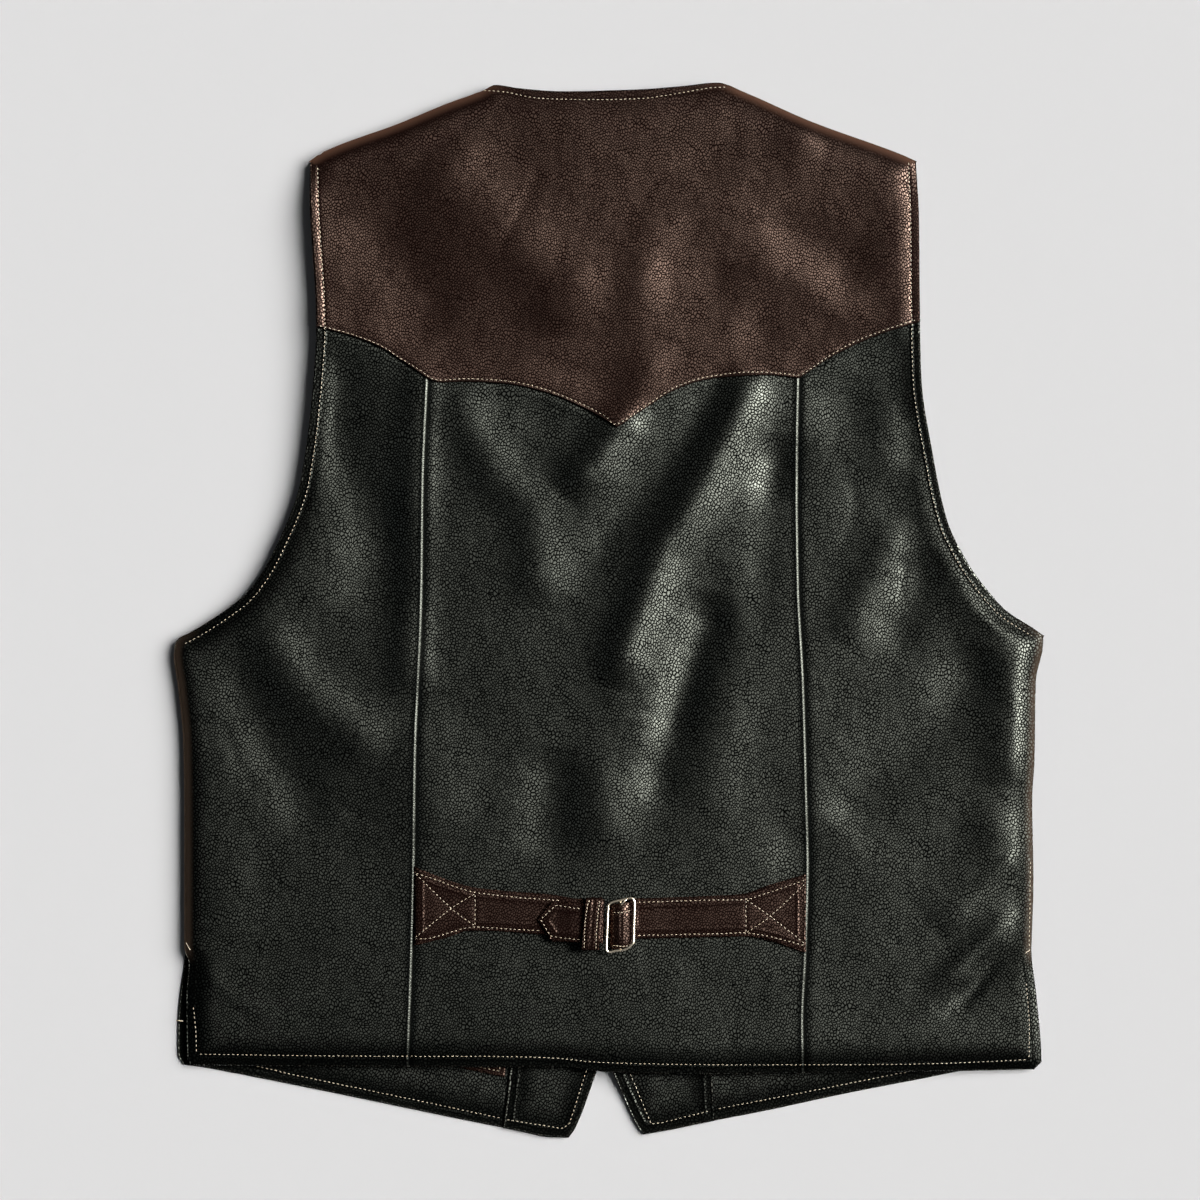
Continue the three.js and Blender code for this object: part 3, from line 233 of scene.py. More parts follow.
# A curve through rows: cubic pieces whose slopes are the harmonic mean of the neighbouring
# secants, with a break at each corner. Column is the one read against the first.
def through(rows, column=1):
    width = 3 if len(rows[0]) < 4 else 6
    table = np.array([row + (0,) * (width - len(row)) for row in sorted(rows)], dtype=float)
    t, y, corner = table[:, 0], table[:, column], table[:, -1] > 0.5
    secant = np.diff(y) / np.diff(t)
    before = np.r_[secant[0], secant]
    after = np.r_[secant, secant[-1]]
    product = before * after
    total = np.where(np.abs(before + after) < 1e-12, 1.0, before + after)
    mean = np.where(product <= 0, 0.0, 2.0 * product / total)
    mean[0], mean[-1] = secant[0], secant[-1]
    slopeIn = np.where(corner, before, mean)
    slopeOut = np.where(corner, after, mean)

    def value(at):
        at = np.clip(at, t[0], t[-1])
        i = np.clip(np.searchsorted(t, at, side="left") - 1, 0, len(t) - 2)
        span = t[i + 1] - t[i]
        u = (at - t[i]) / span
        rise = y[i + 1] - y[i]
        m0, m1 = slopeOut[i] * span, slopeIn[i + 1] * span
        return y[i] + u * (m0 + u * (3 * rise - 2 * m0 - m1 + u * (m0 + m1 - 2 * rise)))

    return value


# The back's outline as short pieces: x, y, edge height, sweep, seam.
def chain(rows, alongIsX, count):
    ends = rows[0][0], rows[-1][0]
    at = np.linspace(ends[0], ends[1], count + 1)
    across, z, sweep, seam = (through(rows, column)(at) for column in (1, 2, 3, 4))
    x, y = (at, across) if alongIsX else (across, at)
    return np.stack([x, y, z, sweep, seam], axis=1)


outline = np.concatenate([
    chain(neckAndShoulders, True, 90),
    chain(rightEdge, False, 160),
    chain(backHem, True, 60)[::-1],
    chain(leftEdge, False, 160)[::-1],
])
outlineNext = np.roll(outline, -1, axis=0)
outlineLength = np.hypot(*(outlineNext - outline)[:, :2].T)
outline, outlineNext = outline[outlineLength > 1e-6], outlineNext[outlineLength > 1e-6]
outlineLength = outlineLength[outlineLength > 1e-6]


# Nearest place on a chain of pieces, for many points: distance, piece and fraction along it.
def nearest(ax, ay, bx, by, x, y, chunk=4000):
    ux, uy = bx - ax, by - ay
    square = ux * ux + uy * uy
    flatX, flatY = np.ravel(x), np.ravel(y)
    distance, piece, fraction = (np.empty(flatX.size) for _ in range(3))
    for start in range(0, flatX.size, chunk):
        part = slice(start, start + chunk)
        dx, dy = flatX[part, None] - ax, flatY[part, None] - ay
        t = np.clip((dx * ux + dy * uy) / square, 0.0, 1.0)
        gap = np.hypot(dx - t * ux, dy - t * uy)
        best = np.argmin(gap, axis=1)
        rows = np.arange(best.size)
        distance[part], piece[part], fraction[part] = gap[rows, best], best, t[rows, best]
    return distance, piece.astype(int), fraction


def nearestEdge(x, y):
    a, b = outline, outlineNext
    distance, piece, t = nearest(a[:, 0], a[:, 1], b[:, 0], b[:, 1], x, y)
    z, sweep, seam = (lerp(a[piece, k], b[piece, k], t) for k in (2, 3, 4))
    ux = (b[piece, 0] - a[piece, 0]) / outlineLength[piece]
    uy = (b[piece, 1] - a[piece, 1]) / outlineLength[piece]
    values = {"distance": distance, "z": z, "sweep": sweep, "seam": seam, "inX": uy, "inY": -ux}
    return {name: value.reshape(np.shape(x)) for name, value in values.items()}


# A fold is a bell across its path, faded out at both ends.
def foldRelief(x, y, table=folds, ends=foldEnd):
    total = np.zeros(np.shape(x))
    for rise, half, path in table:
        p = np.array(path, dtype=float)
        length = np.hypot(*np.diff(p, axis=0).T)
        run = np.concatenate([[0.0], np.cumsum(length)])
        distance, piece, t = nearest(p[:-1, 0], p[:-1, 1], p[1:, 0], p[1:, 1], x, y, 60000)
        at = run[piece] + t * length[piece]
        fade = smooth(at / ends + 0.25) * smooth((run[-1] - at) / ends + 0.25)
        total += (rise * fade * np.exp(-(distance / half) ** 2)).reshape(np.shape(x))
    return total


def beltPressed(x, y):
    square = ((x - beltPress["x"]) / beltPress["wide"]) ** 2 + ((y - beltPress["y"]) / beltPress["high"]) ** 2
    return 1.0 - beltPress["amount"] * np.exp(-square)


# Height of what lies under the back: fronts, facings, their overlap and the snaps.
def stackHeight(x, y):
    layer = body["thinWall"] + body["seamGap"]
    facings = smooth((82 - np.abs(x)) / 12) * layer
    pocketCover = smooth((196 + x) / 8) * smooth((-50 - x) / 8) * smooth((-136 - y) / 10) * layer
    overlap = smooth((34 - np.abs(x)) / 18) * smooth((80 - y) / 15) * (frontLift + 1.3)
    return body["wall"] + np.maximum(facings, pocketCover) + overlap


# Height of the back's outside: a plateau with its folds, brought down to the edge heights by
# a parabola at a free edge and a quarter ellipse at a sewn one.
def backTop(x, y, edge=None):
    edge = edge or nearestEdge(x, y)
    base = body["plateauSide"] + body["plateauRise"] * np.exp(-(x / body["plateauWidth"]) ** 2)
    t = np.clip(edge["distance"] / edge["sweep"], 0.0, 1.0)
    rounded = lerp(1 - (1 - t) ** 2, np.sqrt(1 - (1 - t) ** 2), edge["seam"])
    relief = foldRelief(x, y) * beltPressed(x, y)
    high = base + relief * smooth(edge["distance"] / 16)
    least = stackHeight(x, y) + body["wall"] + body["fitsBelow"]
    over = high - least
    kept = least + 0.5 * (over + np.sqrt(over * over + 1))
    return edge["z"] + (kept - edge["z"]) * rounded


# Meshes

# A patch between four edges: the two ruled surfaces added, less the bilinear one.
def patch(top, bottom, left, right, across, down):
    def at(edge, t):
        return np.stack(edge(np.asarray(t)), axis=-1)

    u = np.atleast_2d(across)
    v = np.asarray(down)[:, None] + 0 * u
    u = u + 0 * v
    upper, lower = at(top, [0.0, 1.0]), at(bottom, [0.0, 1.0])
    t, b, l, r = at(top, u), at(bottom, u), at(left, v), at(right, v)
    u, v = u[..., None], v[..., None]
    return lerp(t, b, v) + lerp(l, r, u) - lerp(lerp(*upper, u), lerp(*lower, u), v)


# A patch's edge from one x to another, where the curve gives y.
def alongX(curve, start, end, shift=0.0):
    def edge(t):
        x = lerp(start, end, t)
        return x, curve(x) + shift
    return edge


# The same from one y to another, where the curve gives x.
def alongY(curve, start, end, shift=0.0):
    def edge(t):
        y = lerp(start, end, t)
        return curve(y) + shift, y
    return edge


# Fractions along a span: the given close steps at its start and end, even ones between.
def stations(low, span, step, high=None):
    low, high = np.array(low, dtype=float), np.array(low if high is None else high, dtype=float)
    count = max(2, int(round((span - low[-1] - high[-1]) / step)))
    middle = np.linspace(low[-1], span - high[-1], count + 1)[1:-1]
    return np.concatenate([low, middle, (span - high)[::-1]]) / span


def unit(v):
    return v / np.maximum(np.linalg.norm(v, axis=-1, keepdims=True), 1e-9)


# Normals of a grid: the cross product of its two directions, turned to the given side.
def gridNormals(points, side=1.0):
    alongRows = np.gradient(points, axis=0)
    alongColumns = np.gradient(points, axis=1)
    normal = unit(np.cross(alongColumns, alongRows))
    flip = np.sign(np.mean(normal[..., 2])) * side
    return normal * flip


# Quads of a grid of indices, whose rows or columns may close into loops.
def quads(index, loopRows=False, loopColumns=False):
    index = np.concatenate([index, index[:1]]) if loopRows else index
    index = np.concatenate([index, index[:, :1]], axis=1) if loopColumns else index
    return np.stack([index[:-1, :-1], index[1:, :-1], index[1:, 1:], index[:-1, 1:]], axis=-1).reshape(-1, 4)


otherWay = [0, 3, 2, 1]  # order of a quad's corners that turns it over


def addObject(name, points, faces, values=None):
    mesh = bpy.data.meshes.new(name)
    mesh.from_pydata((points * mm).tolist(), [], faces)
    for key, numbers in (values or {}).items():
        mesh.attributes.new(key, "FLOAT", "POINT").data.foreach_set("value", numbers.astype(np.float32))
    mesh.polygons.foreach_set("use_smooth", np.ones(len(mesh.polygons), dtype=bool))
    mesh.update()
    piece = bpy.data.objects.new(name, mesh)
    bpy.context.scene.collection.objects.link(piece)
    return piece


# The faces, turned over if the volume that they enclose comes out negative.
def turnedOut(points, faces):
    triangles = points[np.concatenate([faces[:, :3], faces[:, [0, 2, 3]]])]
    volume = np.einsum("ij,ij->", triangles[:, 0], np.cross(triangles[:, 1], triangles[:, 2]))
    return (faces if volume > 0 else faces[:, ::-1]).tolist()


# What a material reads at each point: distance to the piece's edge, 1 where that edge is
# free and 0 where it is sewn, and distance to a seam.
def marks(rim, free=1.0, seam=99.0):
    return {"edgeDistance": rim, "edgeFree": free + 0 * rim, "seamDistance": seam + 0 * rim}


# The outermost places of a grid, in order round it.
def around(grid):
    return np.concatenate([grid[0, :-1], grid[:-1, -1], grid[-1, :0:-1], grid[:0:-1, 0]])


# A closed wall from outside and inside points. Its rim is a half round from one to the other.
def wallPiece(name, outside, inside, values, rimSteps=4):
    count = outside[..., 0].size
    index = np.arange(count).reshape(outside.shape[:2])
    rim = around(index)
    outer, inner = outside.reshape(-1, 3).copy(), inside.reshape(-1, 3).copy()
    p, q = outer[rim], inner[rim]
    tangent = unit(np.roll(p, -1, axis=0) - np.roll(p, 1, axis=0))
    across = p - q
    thick = np.linalg.norm(across, axis=1, keepdims=True)
    normal = across / np.maximum(thick, 1e-9)
    out = unit(np.cross(tangent, normal))
    if np.sum(out[:, :2] * (p - p.mean(axis=0))[:, :2]) < 0:
        out = -out
    reach = thick / 2
    centre = (p + q) / 2 - out * reach
    outer[rim] = centre + normal * reach
    inner[rim] = centre - normal * reach
    angles = np.pi * (0.5 - np.arange(1, rimSteps) / rimSteps)
    rings = [centre + out * reach * math.cos(a) + normal * reach * math.sin(a) for a in angles]
    points = np.concatenate([outer, inner, *rings])
    sheet = quads(index)
    between = 2 * count + np.arange((rimSteps - 1) * rim.size).reshape(-1, rim.size)
    levels = np.concatenate([rim[None], between, (rim + count)[None]])
    faces = np.concatenate([sheet, sheet[:, otherWay] + count, quads(levels, loopColumns=True)])
    spread = {key: np.concatenate([grid.ravel(), grid.ravel(), np.tile(grid.ravel()[rim], rimSteps - 1)])
              for key, grid in values.items()}
    return addObject(name, points, turnedOut(points, faces), spread)


print("vest: shapes ready")

topY = through(neckAndShoulders)
leftX = through(leftEdge)
rightX = through(rightEdge)
hemY = through(backHem)
yokeY = through(yokeSeam)
leftSeamX = through(leftSeam)
rightSeamX = through(rightSeam)
half = body["seamGap"] / 2
seamDrop = half * 1.3
rollSteps = [0, 1.2, 2.4, 3.8, 5.4, 7.2, 9.2]
seamSteps = [0, 0.35, 0.7, 1.05, 1.4, 1.8, 2.4, 3.2]
hemSteps = [0, 1.2, 2.4, 4, 6]
lapSteps = [0, 2, 4, 6]
closeSteps = [0, 0.5, 1.2]
fine = 2.1  # step of the back's grids
yokeSize, centreSize, sideLength = (390.0, 150.0), (245.0, 440.0), 470.0

# Small creases that only show from near: rise, half width, path.
creases = [
    (-0.35, 2.4, [(-10, -66), (4, -65), (18, -63), (28, -66)]),
    (0.3, 3.4, [(-8, -70), (10, -69), (26, -71)]),
    (-0.35, 3.0, [(-45, 284), (-52, 268), (-60, 250), (-70, 232)]),
    (-0.3, 2.6, [(-48, 250), (-60, 246), (-72, 244)]),
    (-0.4, 2.8, [(190, 34), (189, 20), (186, 6)]),
    (-0.35, 5.0, [(153, 88), (158, 70), (156, 52), (149, 40)]),
    (0.6, 4.0, [(266, -150), (250, -166), (236, -176)]),
    (-0.6, 3.0, [(262, -166), (246, -182), (230, -194)]),
    (0.6, 4.0, [(258, -224), (240, -246), (222, -262)]),
    (-0.6, 3.2, [(242, -236), (232, -250), (226, -262)]),
    (0.5, 3.6, [(234, -232), (222, -248), (214, -258)]),
    (-0.3, 3.4, [(-250, -70), (-238, -100), (-226, -118)]),
    (0.4, 5.0, [(-262, -230), (-240, -250), (-214, -262)]),
    (-0.3, 3.4, [(-180, -120), (-160, -134), (-142, -140)]),
    (0.4, 6.0, [(36, 250), (66, 262), (96, 258)]),
    (-0.3, 4.0, [(20, 232), (40, 244), (62, 248)]),
]

# Where the leather lies softer than the folds' formula: rise, half width, path.
easings = [
    (-3.4, 14.0, [(36, 172), (23, 152), (8, 120)]),
    (3.4, 13.0, [(105, 81), (100, 49), (97, 20), (98, -20)]),
    (-2.6, 28.0, [(-118, -62), (-119, -109), (-110, -152)]),
    (-1.8, 25.0, [(-117, 294), (-90, 258), (-60, 215), (-35, 176)]),
    (1.4, 15.0, [(34, 262), (28, 232), (23, 210), (17, 172)]),
    (2.6, 22.0, [(150, 154), (150, 129), (148, 106)]),
    (-1.3, 17.0, [(-7, -92), (-5, -122), (2, -158)]),
    (2.2, 14.0, [(42, -71), (34, -100), (30, -128)]),
    (0.9, 16.0, [(98, 252), (123, 242), (146, 228), (166, 209)]),
    (-1.8, 14.0, [(102, 166), (92, 146), (84, 128)]),
    (-1.3, 17.0, [(173, 288), (187, 252), (188, 207), (190, 165)]),
]


# Slow undulation that no fold names: a sum of a few long waves.
def undulation(x, y):
    waves = [(0.16, 83, 0.4, 1.3), (0.10, 57, 1.9, 4.0), (0.05, 35, 2.7, 0.7)]
    return sum(a * np.sin(2 * np.pi * (x * math.cos(t) + y * math.sin(t)) / w + s) for a, w, t, s in waves)


# The back's outside with its creases, the bulge outside each edge stitch, and the seams.
def softTop(x, y, edge):
    inner = smooth((edge["distance"] - 8) / 10)
    small = foldRelief(x, y, creases, 8.0) + foldRelief(x, y, easings) + undulation(x, y)
    relief = small * inner * beltPressed(x, y)
    free = 1 - edge["seam"]
    rimBulge = 0.12 * free * np.exp(-((edge["distance"] - 2.6) / 2.2) ** 2)
    groove = 0.18 * free * np.exp(-((edge["distance"] - body["stitchInset"]) / 1.3) ** 2)
    return backTop(x, y, edge) + relief + rimBulge - groove


# Step at a side seam: the panel on its left ends in a raised roll, the one on its right dips
# under that roll.
def seamStep(gap, rolled):
    roll = body["seamRise"] * np.exp(-((gap + body["rollInset"]) / body["rollHalf"]) ** 2)
    dip = -body["seamDip"] * np.exp(-(np.maximum(gap, 0) / 2.2) ** 2)
    return np.where(rolled, roll, dip)


# Height of the yoke, or of one panel. With no panel named it is whichever lies there.
def dressedBack(x, y, piece=None):
    edge = nearestEdge(x, y)
    z = softTop(x, y, edge)
    if piece == "yoke":
        above = np.maximum(y - yokeY(x), 0.0)
        z = z + body["lap"] * (1 - smooth(above / body["lapWidth"]))
        z = z - 0.3 * np.exp(-((above - 2.2) / 1.2) ** 2)
        seam = above
    else:
        below = yokeY(x) - y
        toLeft, toRight = x - leftSeamX(y), x - rightSeamX(y)
        z = z - 0.2 * np.exp(-(below / 4) ** 2) + 0.4 * np.exp(-((below - 3.4) / 1.5) ** 2)
        z = z + seamStep(toLeft, piece == "left" if piece else toLeft < 0)
        z = z + seamStep(toRight, piece in ("left", "centre") if piece else toRight < 0)
        seam = np.minimum(np.abs(toLeft), np.abs(toRight))
    return z, marks(edge["distance"], 1 - edge["seam"], seam), edge


# A back piece from its plan: the inside lies one wall, or a turned edge, along the normal.
def backPiece(name, plan, piece):
    x, y = plan[..., 0], plan[..., 1]
    z, values, edge = dressedBack(x, y, piece)
    outside = np.stack([x, y, z], axis=-1)
    normal = gridNormals(outside)
    normal[..., 2] *= 1 - np.where(edge["distance"] < 0.05, edge["seam"], 0.0)
    inner = smooth((edge["distance"] - body["turnedWidth"]) / 3)
    turned = body["turnedEdge"] * (1 - edge["seam"]) * (1 - inner)
    inside = outside - unit(normal) * (body["wall"] + turned)[..., None]
    return wallPiece(name, outside, inside, values)


# Puts one of the fractions on the yoke's tip.
def withTip(across, low, high):
    mark = (yokeTip - low) / (high - low)
    across[np.argmin(np.abs(across - mark))] = mark
    return across


def backYoke():
    (left, right), (lowLeft, lowRight) = (-193.0, 198.0), (-188.0, 199.8)
    across = withTip(stations(rollSteps, yokeSize[0], fine), lowLeft, lowRight)
    down = stations(rollSteps, yokeSize[1], fine * 0.8, seamSteps)
    return backPiece("yoke", patch(
        alongX(topY, left, right), alongX(yokeY, lowLeft, lowRight, seamDrop),
        alongY(leftX, topY(left), yokeY(lowLeft) + seamDrop),
        alongY(rightX, topY(right), yokeY(lowRight) + seamDrop), across, down), "yoke")


def centreBack():
    under, over, up = -body["seamUnder"], body["seamOver"], body["lapUnder"]
    low, high = notch["left"] + under, notch["right"] + over
    across = withTip(stations(seamSteps, centreSize[0], fine), low, high)
    down = stations(lapSteps, centreSize[1], fine, rollSteps)
    return backPiece("centrePanel", patch(
        alongX(yokeY, low, high, up), alongX(hemY, -129.1 + under, 125.2 + over),
        alongY(leftSeamX, yokeY(low) + up, hemY(-129.0), under),
        alongY(rightSeamX, yokeY(high) + up, hemY(125.0), over), across, down), "centre")


# Side panels: where each starts and ends along the yoke and along the hem, and its lines.
sidePanels = {
    "left": {"outer": -188.0, "inner": notch["left"], "lowOuter": -269.4, "lowInner": -129.1,
             "edge": leftX, "seam": leftSeamX, "shift": body["seamOver"]},
    "right": {"outer": 199.8, "inner": notch["right"], "lowOuter": 274.0, "lowInner": 125.2,
              "edge": rightX, "seam": rightSeamX, "shift": -body["seamUnder"]},
}


def sideBack(side):
    s, up = sidePanels[side], body["lapUnder"]
    inner = s["inner"] + s["shift"]
    down = stations(lapSteps, sideLength, fine, rollSteps)
    outerEdge = alongY(s["edge"], yokeY(s["outer"]) + up, hemY(s["lowOuter"]))
    innerEdge = alongY(s["seam"], yokeY(inner) + up, hemY(s["lowInner"]), s["shift"])
    width = np.abs(outerEdge(down)[0] - innerEdge(down)[0])[:, None]
    fromEdge = np.array(rollSteps)[None] / width
    toSeam = 1 - np.array(seamSteps)[::-1][None] / width
    middle = lerp(fromEdge[:, -1:], toSeam[:, :1], np.linspace(0, 1, 62)[None, 1:-1])
    across = np.concatenate([fromEdge, middle, toSeam], axis=1)
    return backPiece("sidePanel" + side.capitalize(), patch(
        alongX(yokeY, s["outer"], inner, up), alongX(hemY, s["lowOuter"], s["lowInner"] + s["shift"]),
        outerEdge, innerEdge, across, down), side)


# Fronts

lowerFrontEdge = through(centreEdgeLeft)


# The right front rises in a ramp onto the left one, and comes down again near its ends.
def liftRight(x, y):
    reach = np.maximum(lowerFrontEdge(y - body["liftReach"]), lowerFrontEdge(y))
    past = x - reach - body["rampStart"]
    return (frontLift * (1 - smooth(past / body["rampWidth"]))
            * smooth((y + 330) / 35) * smooth((165 - y) / 45))


sides = {
    "left": {"outer": frontOuterLeft, "facing": facingEdgeLeft, "centre": centreEdgeLeft,
             "hem": frontHemLeft, "lift": lambda x, y: 0 * x},
    "right": {"outer": frontOuterRight, "facing": facingEdgeRight, "centre": centreEdgeRight,
              "hem": frontHemRight, "lift": liftRight},
}


# Places of a front in plan: the main part, or the strip that the facing covers.
def frontPlan(table, part, across, down):
    hemLine = through(table["hem"])
    rails = [table[key] for key in ("outer", "facing", "centre")[part:part + 2]]
    top, low = [rail[0][1] for rail in rails], [rail[-1][1] for rail in rails]
    edges = [alongY(through(rail), topY(t), hemLine(l)) for rail, t, l in zip(rails, top, low)]
    return patch(alongX(topY, *top), alongX(hemLine, *low), *edges, across, down)


# Wrinkled flesh of the fronts' inside, by the hem.
def frontRelief(x, y):
    return 0.35 * np.sin(x / 3.4 + 0.9 * np.sin(y / 6.3)) * np.sin(y / 3.1 + 1.2 * np.sin(x / 8.1))


# Height and thickness of a front: flat on the surface, turned up in a quarter ellipse at
# the side and shoulder seams.
def frontShell(plan, lift):
    x, y = plan[..., 0], plan[..., 1]
    edge = nearestEdge(x, y)
    onShoulder = y > 280
    tipFade = smooth((194 - np.abs(x - 2.5)) / 16)
    sewn = np.where(onShoulder, edge["seam"] * tipFade, edge["seam"] * ((y > -222) & (y < -12)))
    seamHeight = np.where(onShoulder, body["shoulderSeamHeight"], body["sideSeamHeight"]) - half
    t = np.clip(edge["distance"] / body["frontRoll"], 0, 1)
    level = np.where(edge["distance"] < 0.3, 0.0, np.sqrt(1 - (1 - t) ** 2))
    turn = lerp(1.0, level, sewn)
    inwards = np.sqrt(1 - turn * turn)
    clearance = 0.15
    outside = np.stack([x, y, clearance + lift(x, y) + seamHeight * sewn * (1 - level)], axis=-1)
    wall = body["wall"] - clearance
    inside = outside + np.stack([edge["inX"] * inwards, edge["inY"] * inwards, turn], axis=-1) * wall
    return outside, inside


# A front: its main part and the strip under the facing, side by side in one grid.
def frontPiece(side):
    table = sides[side]
    down = stations(rollSteps, 640.0, 3.2, hemSteps)
    mainPlan = frontPlan(table, 0, stations(rollSteps, 210.0, 4.2, [0, 2]), down)
    stripPlan = frontPlan(table, 1, stations([0, 2], 55.0, 3.2, hemSteps), down)
    plan = np.concatenate([mainPlan, stripPlan[:, 1:]], axis=1)
    outside, inside = frontShell(plan, table["lift"])
    rim = borderDistance(plan)
    relief = frontRelief(plan[..., 0], plan[..., 1]) * smooth((rim - 8) / 6)
    relief[:, mainPlan.shape[1] - 1:] = 0.0
    inside[..., 2] += np.clip(relief, -0.25, 0.25)
    return wallPiece("front" + side.capitalize(), outside, inside, marks(rim)), stripPlan


# Distance of each grid place from the grid's own border, in plan.
def borderDistance(plan):
    border = around(plan)
    after = np.roll(border, -1, axis=0)
    keep = np.hypot(*(after - border).T) > 1e-6
    a, b = border[keep], after[keep]
    distance, _, _ = nearest(a[:, 0], a[:, 1], b[:, 0], b[:, 1], plan[..., 0], plan[..., 1], 3000)
    return distance.reshape(plan.shape[:2])


# A facing: it lies one small gap above the front's inside, and puffs out near its edge.
def facingPiece(side, stripPlan):
    table = sides[side]
    _, under = frontShell(stripPlan, table["lift"])
    keep = stripPlan[:, 0, 1] < facingTop
    plan, under = stripPlan[keep], under[keep]
    gap, wall = body["seamGap"] * 0.5, body["thinWall"]
    rim = borderDistance(plan)
    puff = 0.25 * np.exp(-((rim - 3) / 2.5) ** 2)
    inside = under + np.array([0, 0, gap])
    outside = inside + np.stack([0 * rim, 0 * rim, wall + puff], axis=-1)
    return wallPiece("facing" + side.capitalize(), outside, inside, marks(rim))


print("vest: body pieces")
pieces = {
    "yoke": backYoke(),
    "centrePanel": centreBack(),
    "sidePanelLeft": sideBack("left"),
    "sidePanelRight": sideBack("right"),
}
for sideName in ("left", "right"):
    pieces["front" + sideName.capitalize()], strip = frontPiece(sideName)
    pieces["facing" + sideName.capitalize()] = facingPiece(sideName, strip)

# Belt: its pieces lie on the back and follow its height.
belt = {
    "rest": 0.4,
    "between": 0.35,  # gap from one layer to the next
    "leftSpan": (-125.2, -3.0),
    "rightSpan": (12.0, 126.4),
    "leftUpper": [(-125.2, -164.5), (-98.8, -174.4), (-86.9, -177.6), (-71.7, -179.4),
                  (-35, -182.5), (-18, -184.9), (-3, -185.2)],
    "leftLower": [(-126.6, -215.6), (-103.3, -209.7), (-90, -205.6), (-80, -205.6),
                  (-44, -208), (-18, -210), (-3, -210.6)],
    "rightUpper": [(12, -184.9), (66.5, -183), (86, -181.8), (102.6, -176.2), (127.6, -169)],
    "rightLower": [(12, -210.8), (66.5, -209.7), (88.4, -209.3), (102.6, -212), (126, -219.7)],
    "tongue": {"tip": -45.8, "shoulder": -36.6, "end": -4.0,
               "upper": -186.6, "lower": -212.2, "middle": -198.2},
    "keeper": {"top": -183.9, "bottom": -217.6, "left": (-14.8, -17.7), "right": (-4.3, -6.6)},
    "tab": {"left": 0.6, "right": 14.9, "top": -188.2, "bottom": -217.0, "crown": 6.6},
    "wire": 0.8,
}
wirePath = [(-0.6, -190.1), (0.3, -188.0), (2.6, -186.7), (8.4, -185.3), (13.2, -184.2), (15.2, -184.7),
            (16.2, -186.6), (16.3, -190.1), (15.9, -201.1), (15.7, -211.4), (14.6, -213.9), (11.9, -216.3),
            (8.7, -217.6), (3.9, -218.1), (0.6, -218.9), (-1.0, -218.2), (-1.7, -215.9), (-1.2, -203.0)]

# Stitch lines of the belt: each a path in plan.
beltLines = {
    "strapLeft": [
        [(-124.6, -168.5), (-112.3, -172.3), (-98.8, -177.2), (-86.5, -180.7), (-71.7, -182.7),
         (-53.6, -184.5), (-41.3, -185.3), (-31.6, -186.0)],
        [(-125.4, -210.6), (-115.5, -210.4), (-103.3, -206.9), (-89.7, -203.3), (-80.7, -203.2),
         (-62.6, -204.5), (-44.5, -205.3)],
        [(-86.0, -181.7), (-86.0, -202.4)],
        [(-124.6, -168.5), (-101.3, -191.1), (-86.0, -202.4)],
        [(-125.2, -210.4), (-101.3, -191.1), (-86.0, -181.7)],
    ],
    "strapRight": [
        [(18.1, -187.1), (39.4, -186.5), (66.5, -185.7), (87.8, -185.2), (102.6, -180.9), (125.9, -173.0)],
        [(18.1, -208.4), (66.5, -207.4), (87.8, -206.9), (102.6, -209.1), (125.4, -215.0)],
        [(87.8, -185.3), (87.8, -206.9)],
        [(87.8, -185.3), (103.3, -196.2), (125.5, -213.8)],
        [(87.8, -206.9), (103.3, -196.2), (125.9, -175.3)],
    ],
    "tongue": [[(-18.1, -191.1), (-23.2, -190.4), (-34.2, -188.8), (-44.0, -198.0), (-37.4, -208.7),
                (-30.3, -209.7), (-18.1, -210.8)]],
    "keeper": [[(-12.3, -184.9), (-13.9, -188.8), (-15.1, -196.6), (-15.8, -206.2), (-15.9, -216.2)],
               [(-5.9, -185.6), (-6.9, -192.0), (-8.0, -203.0), (-8.6, -216.6)]],
    "tab": [[(2.3, -193.3), (8.4, -193.3), (13.9, -192.2)],
            [(1.8, -214.6), (8.4, -215.0), (12.3, -214.8), (13.9, -213.2)]],
}


# Depth of the thread's pull: narrow bells along the stitch lines.
def pulled(x, y, lines, depth=0.32, width=1.0):
    return foldRelief(x, y, [(-depth, width, line) for line in lines], 0.01)


# The left strap rises from its rest to the keeper, and ends at the buckle.
def strapLift(x):
    return belt["rest"] + 1.3 * smooth((x + 34) / 12) * smooth((4 - x) / 4)


# The tongue lies on the left strap, and rises to the keeper.
def tongueLift(x):
    return strapLift(x) + body["strapWall"] + belt["between"] + 0.5 * smooth((x + 46) / 8)


# A belt piece from its plan: outside and inside are the back's height moved out.
def beltPiece(name, plan, lift, puff):
    x, y = plan[..., 0], plan[..., 1]
    rim = borderDistance(plan)
    low = dressedBack(x, y)[0] + lift
    soft = puff * smooth(rim / 3.5) + pulled(x, y, beltLines[name])
    outside = np.stack([x, y, low + body["strapWall"] + soft], axis=-1)
    inside = np.stack([x, y, low + 0.2 * soft], axis=-1)
    return wallPiece(name, outside, inside, marks(rim))


def strapPlan(upper, lower, span, columns, rows):
    high, low = through(upper), through(lower)
    across = stations(closeSteps, span[1] - span[0], (span[1] - span[0]) / columns)
    down = stations(closeSteps, 25.0, 25.0 / rows)
    x = lerp(span[0], span[1], across)[None, :] + 0 * down[:, None]
    y = lerp(high(x), low(x), down[:, None])
    return np.stack([x, y], axis=-1)


def beltStrap(side):
    plan = strapPlan(belt[side + "Upper"], belt[side + "Lower"], belt[side + "Span"], 115, 24)
    lift = strapLift(plan[..., 0]) if side == "left" else belt["rest"]
    return beltPiece("strap" + side.capitalize(), plan, lift, 0.45)


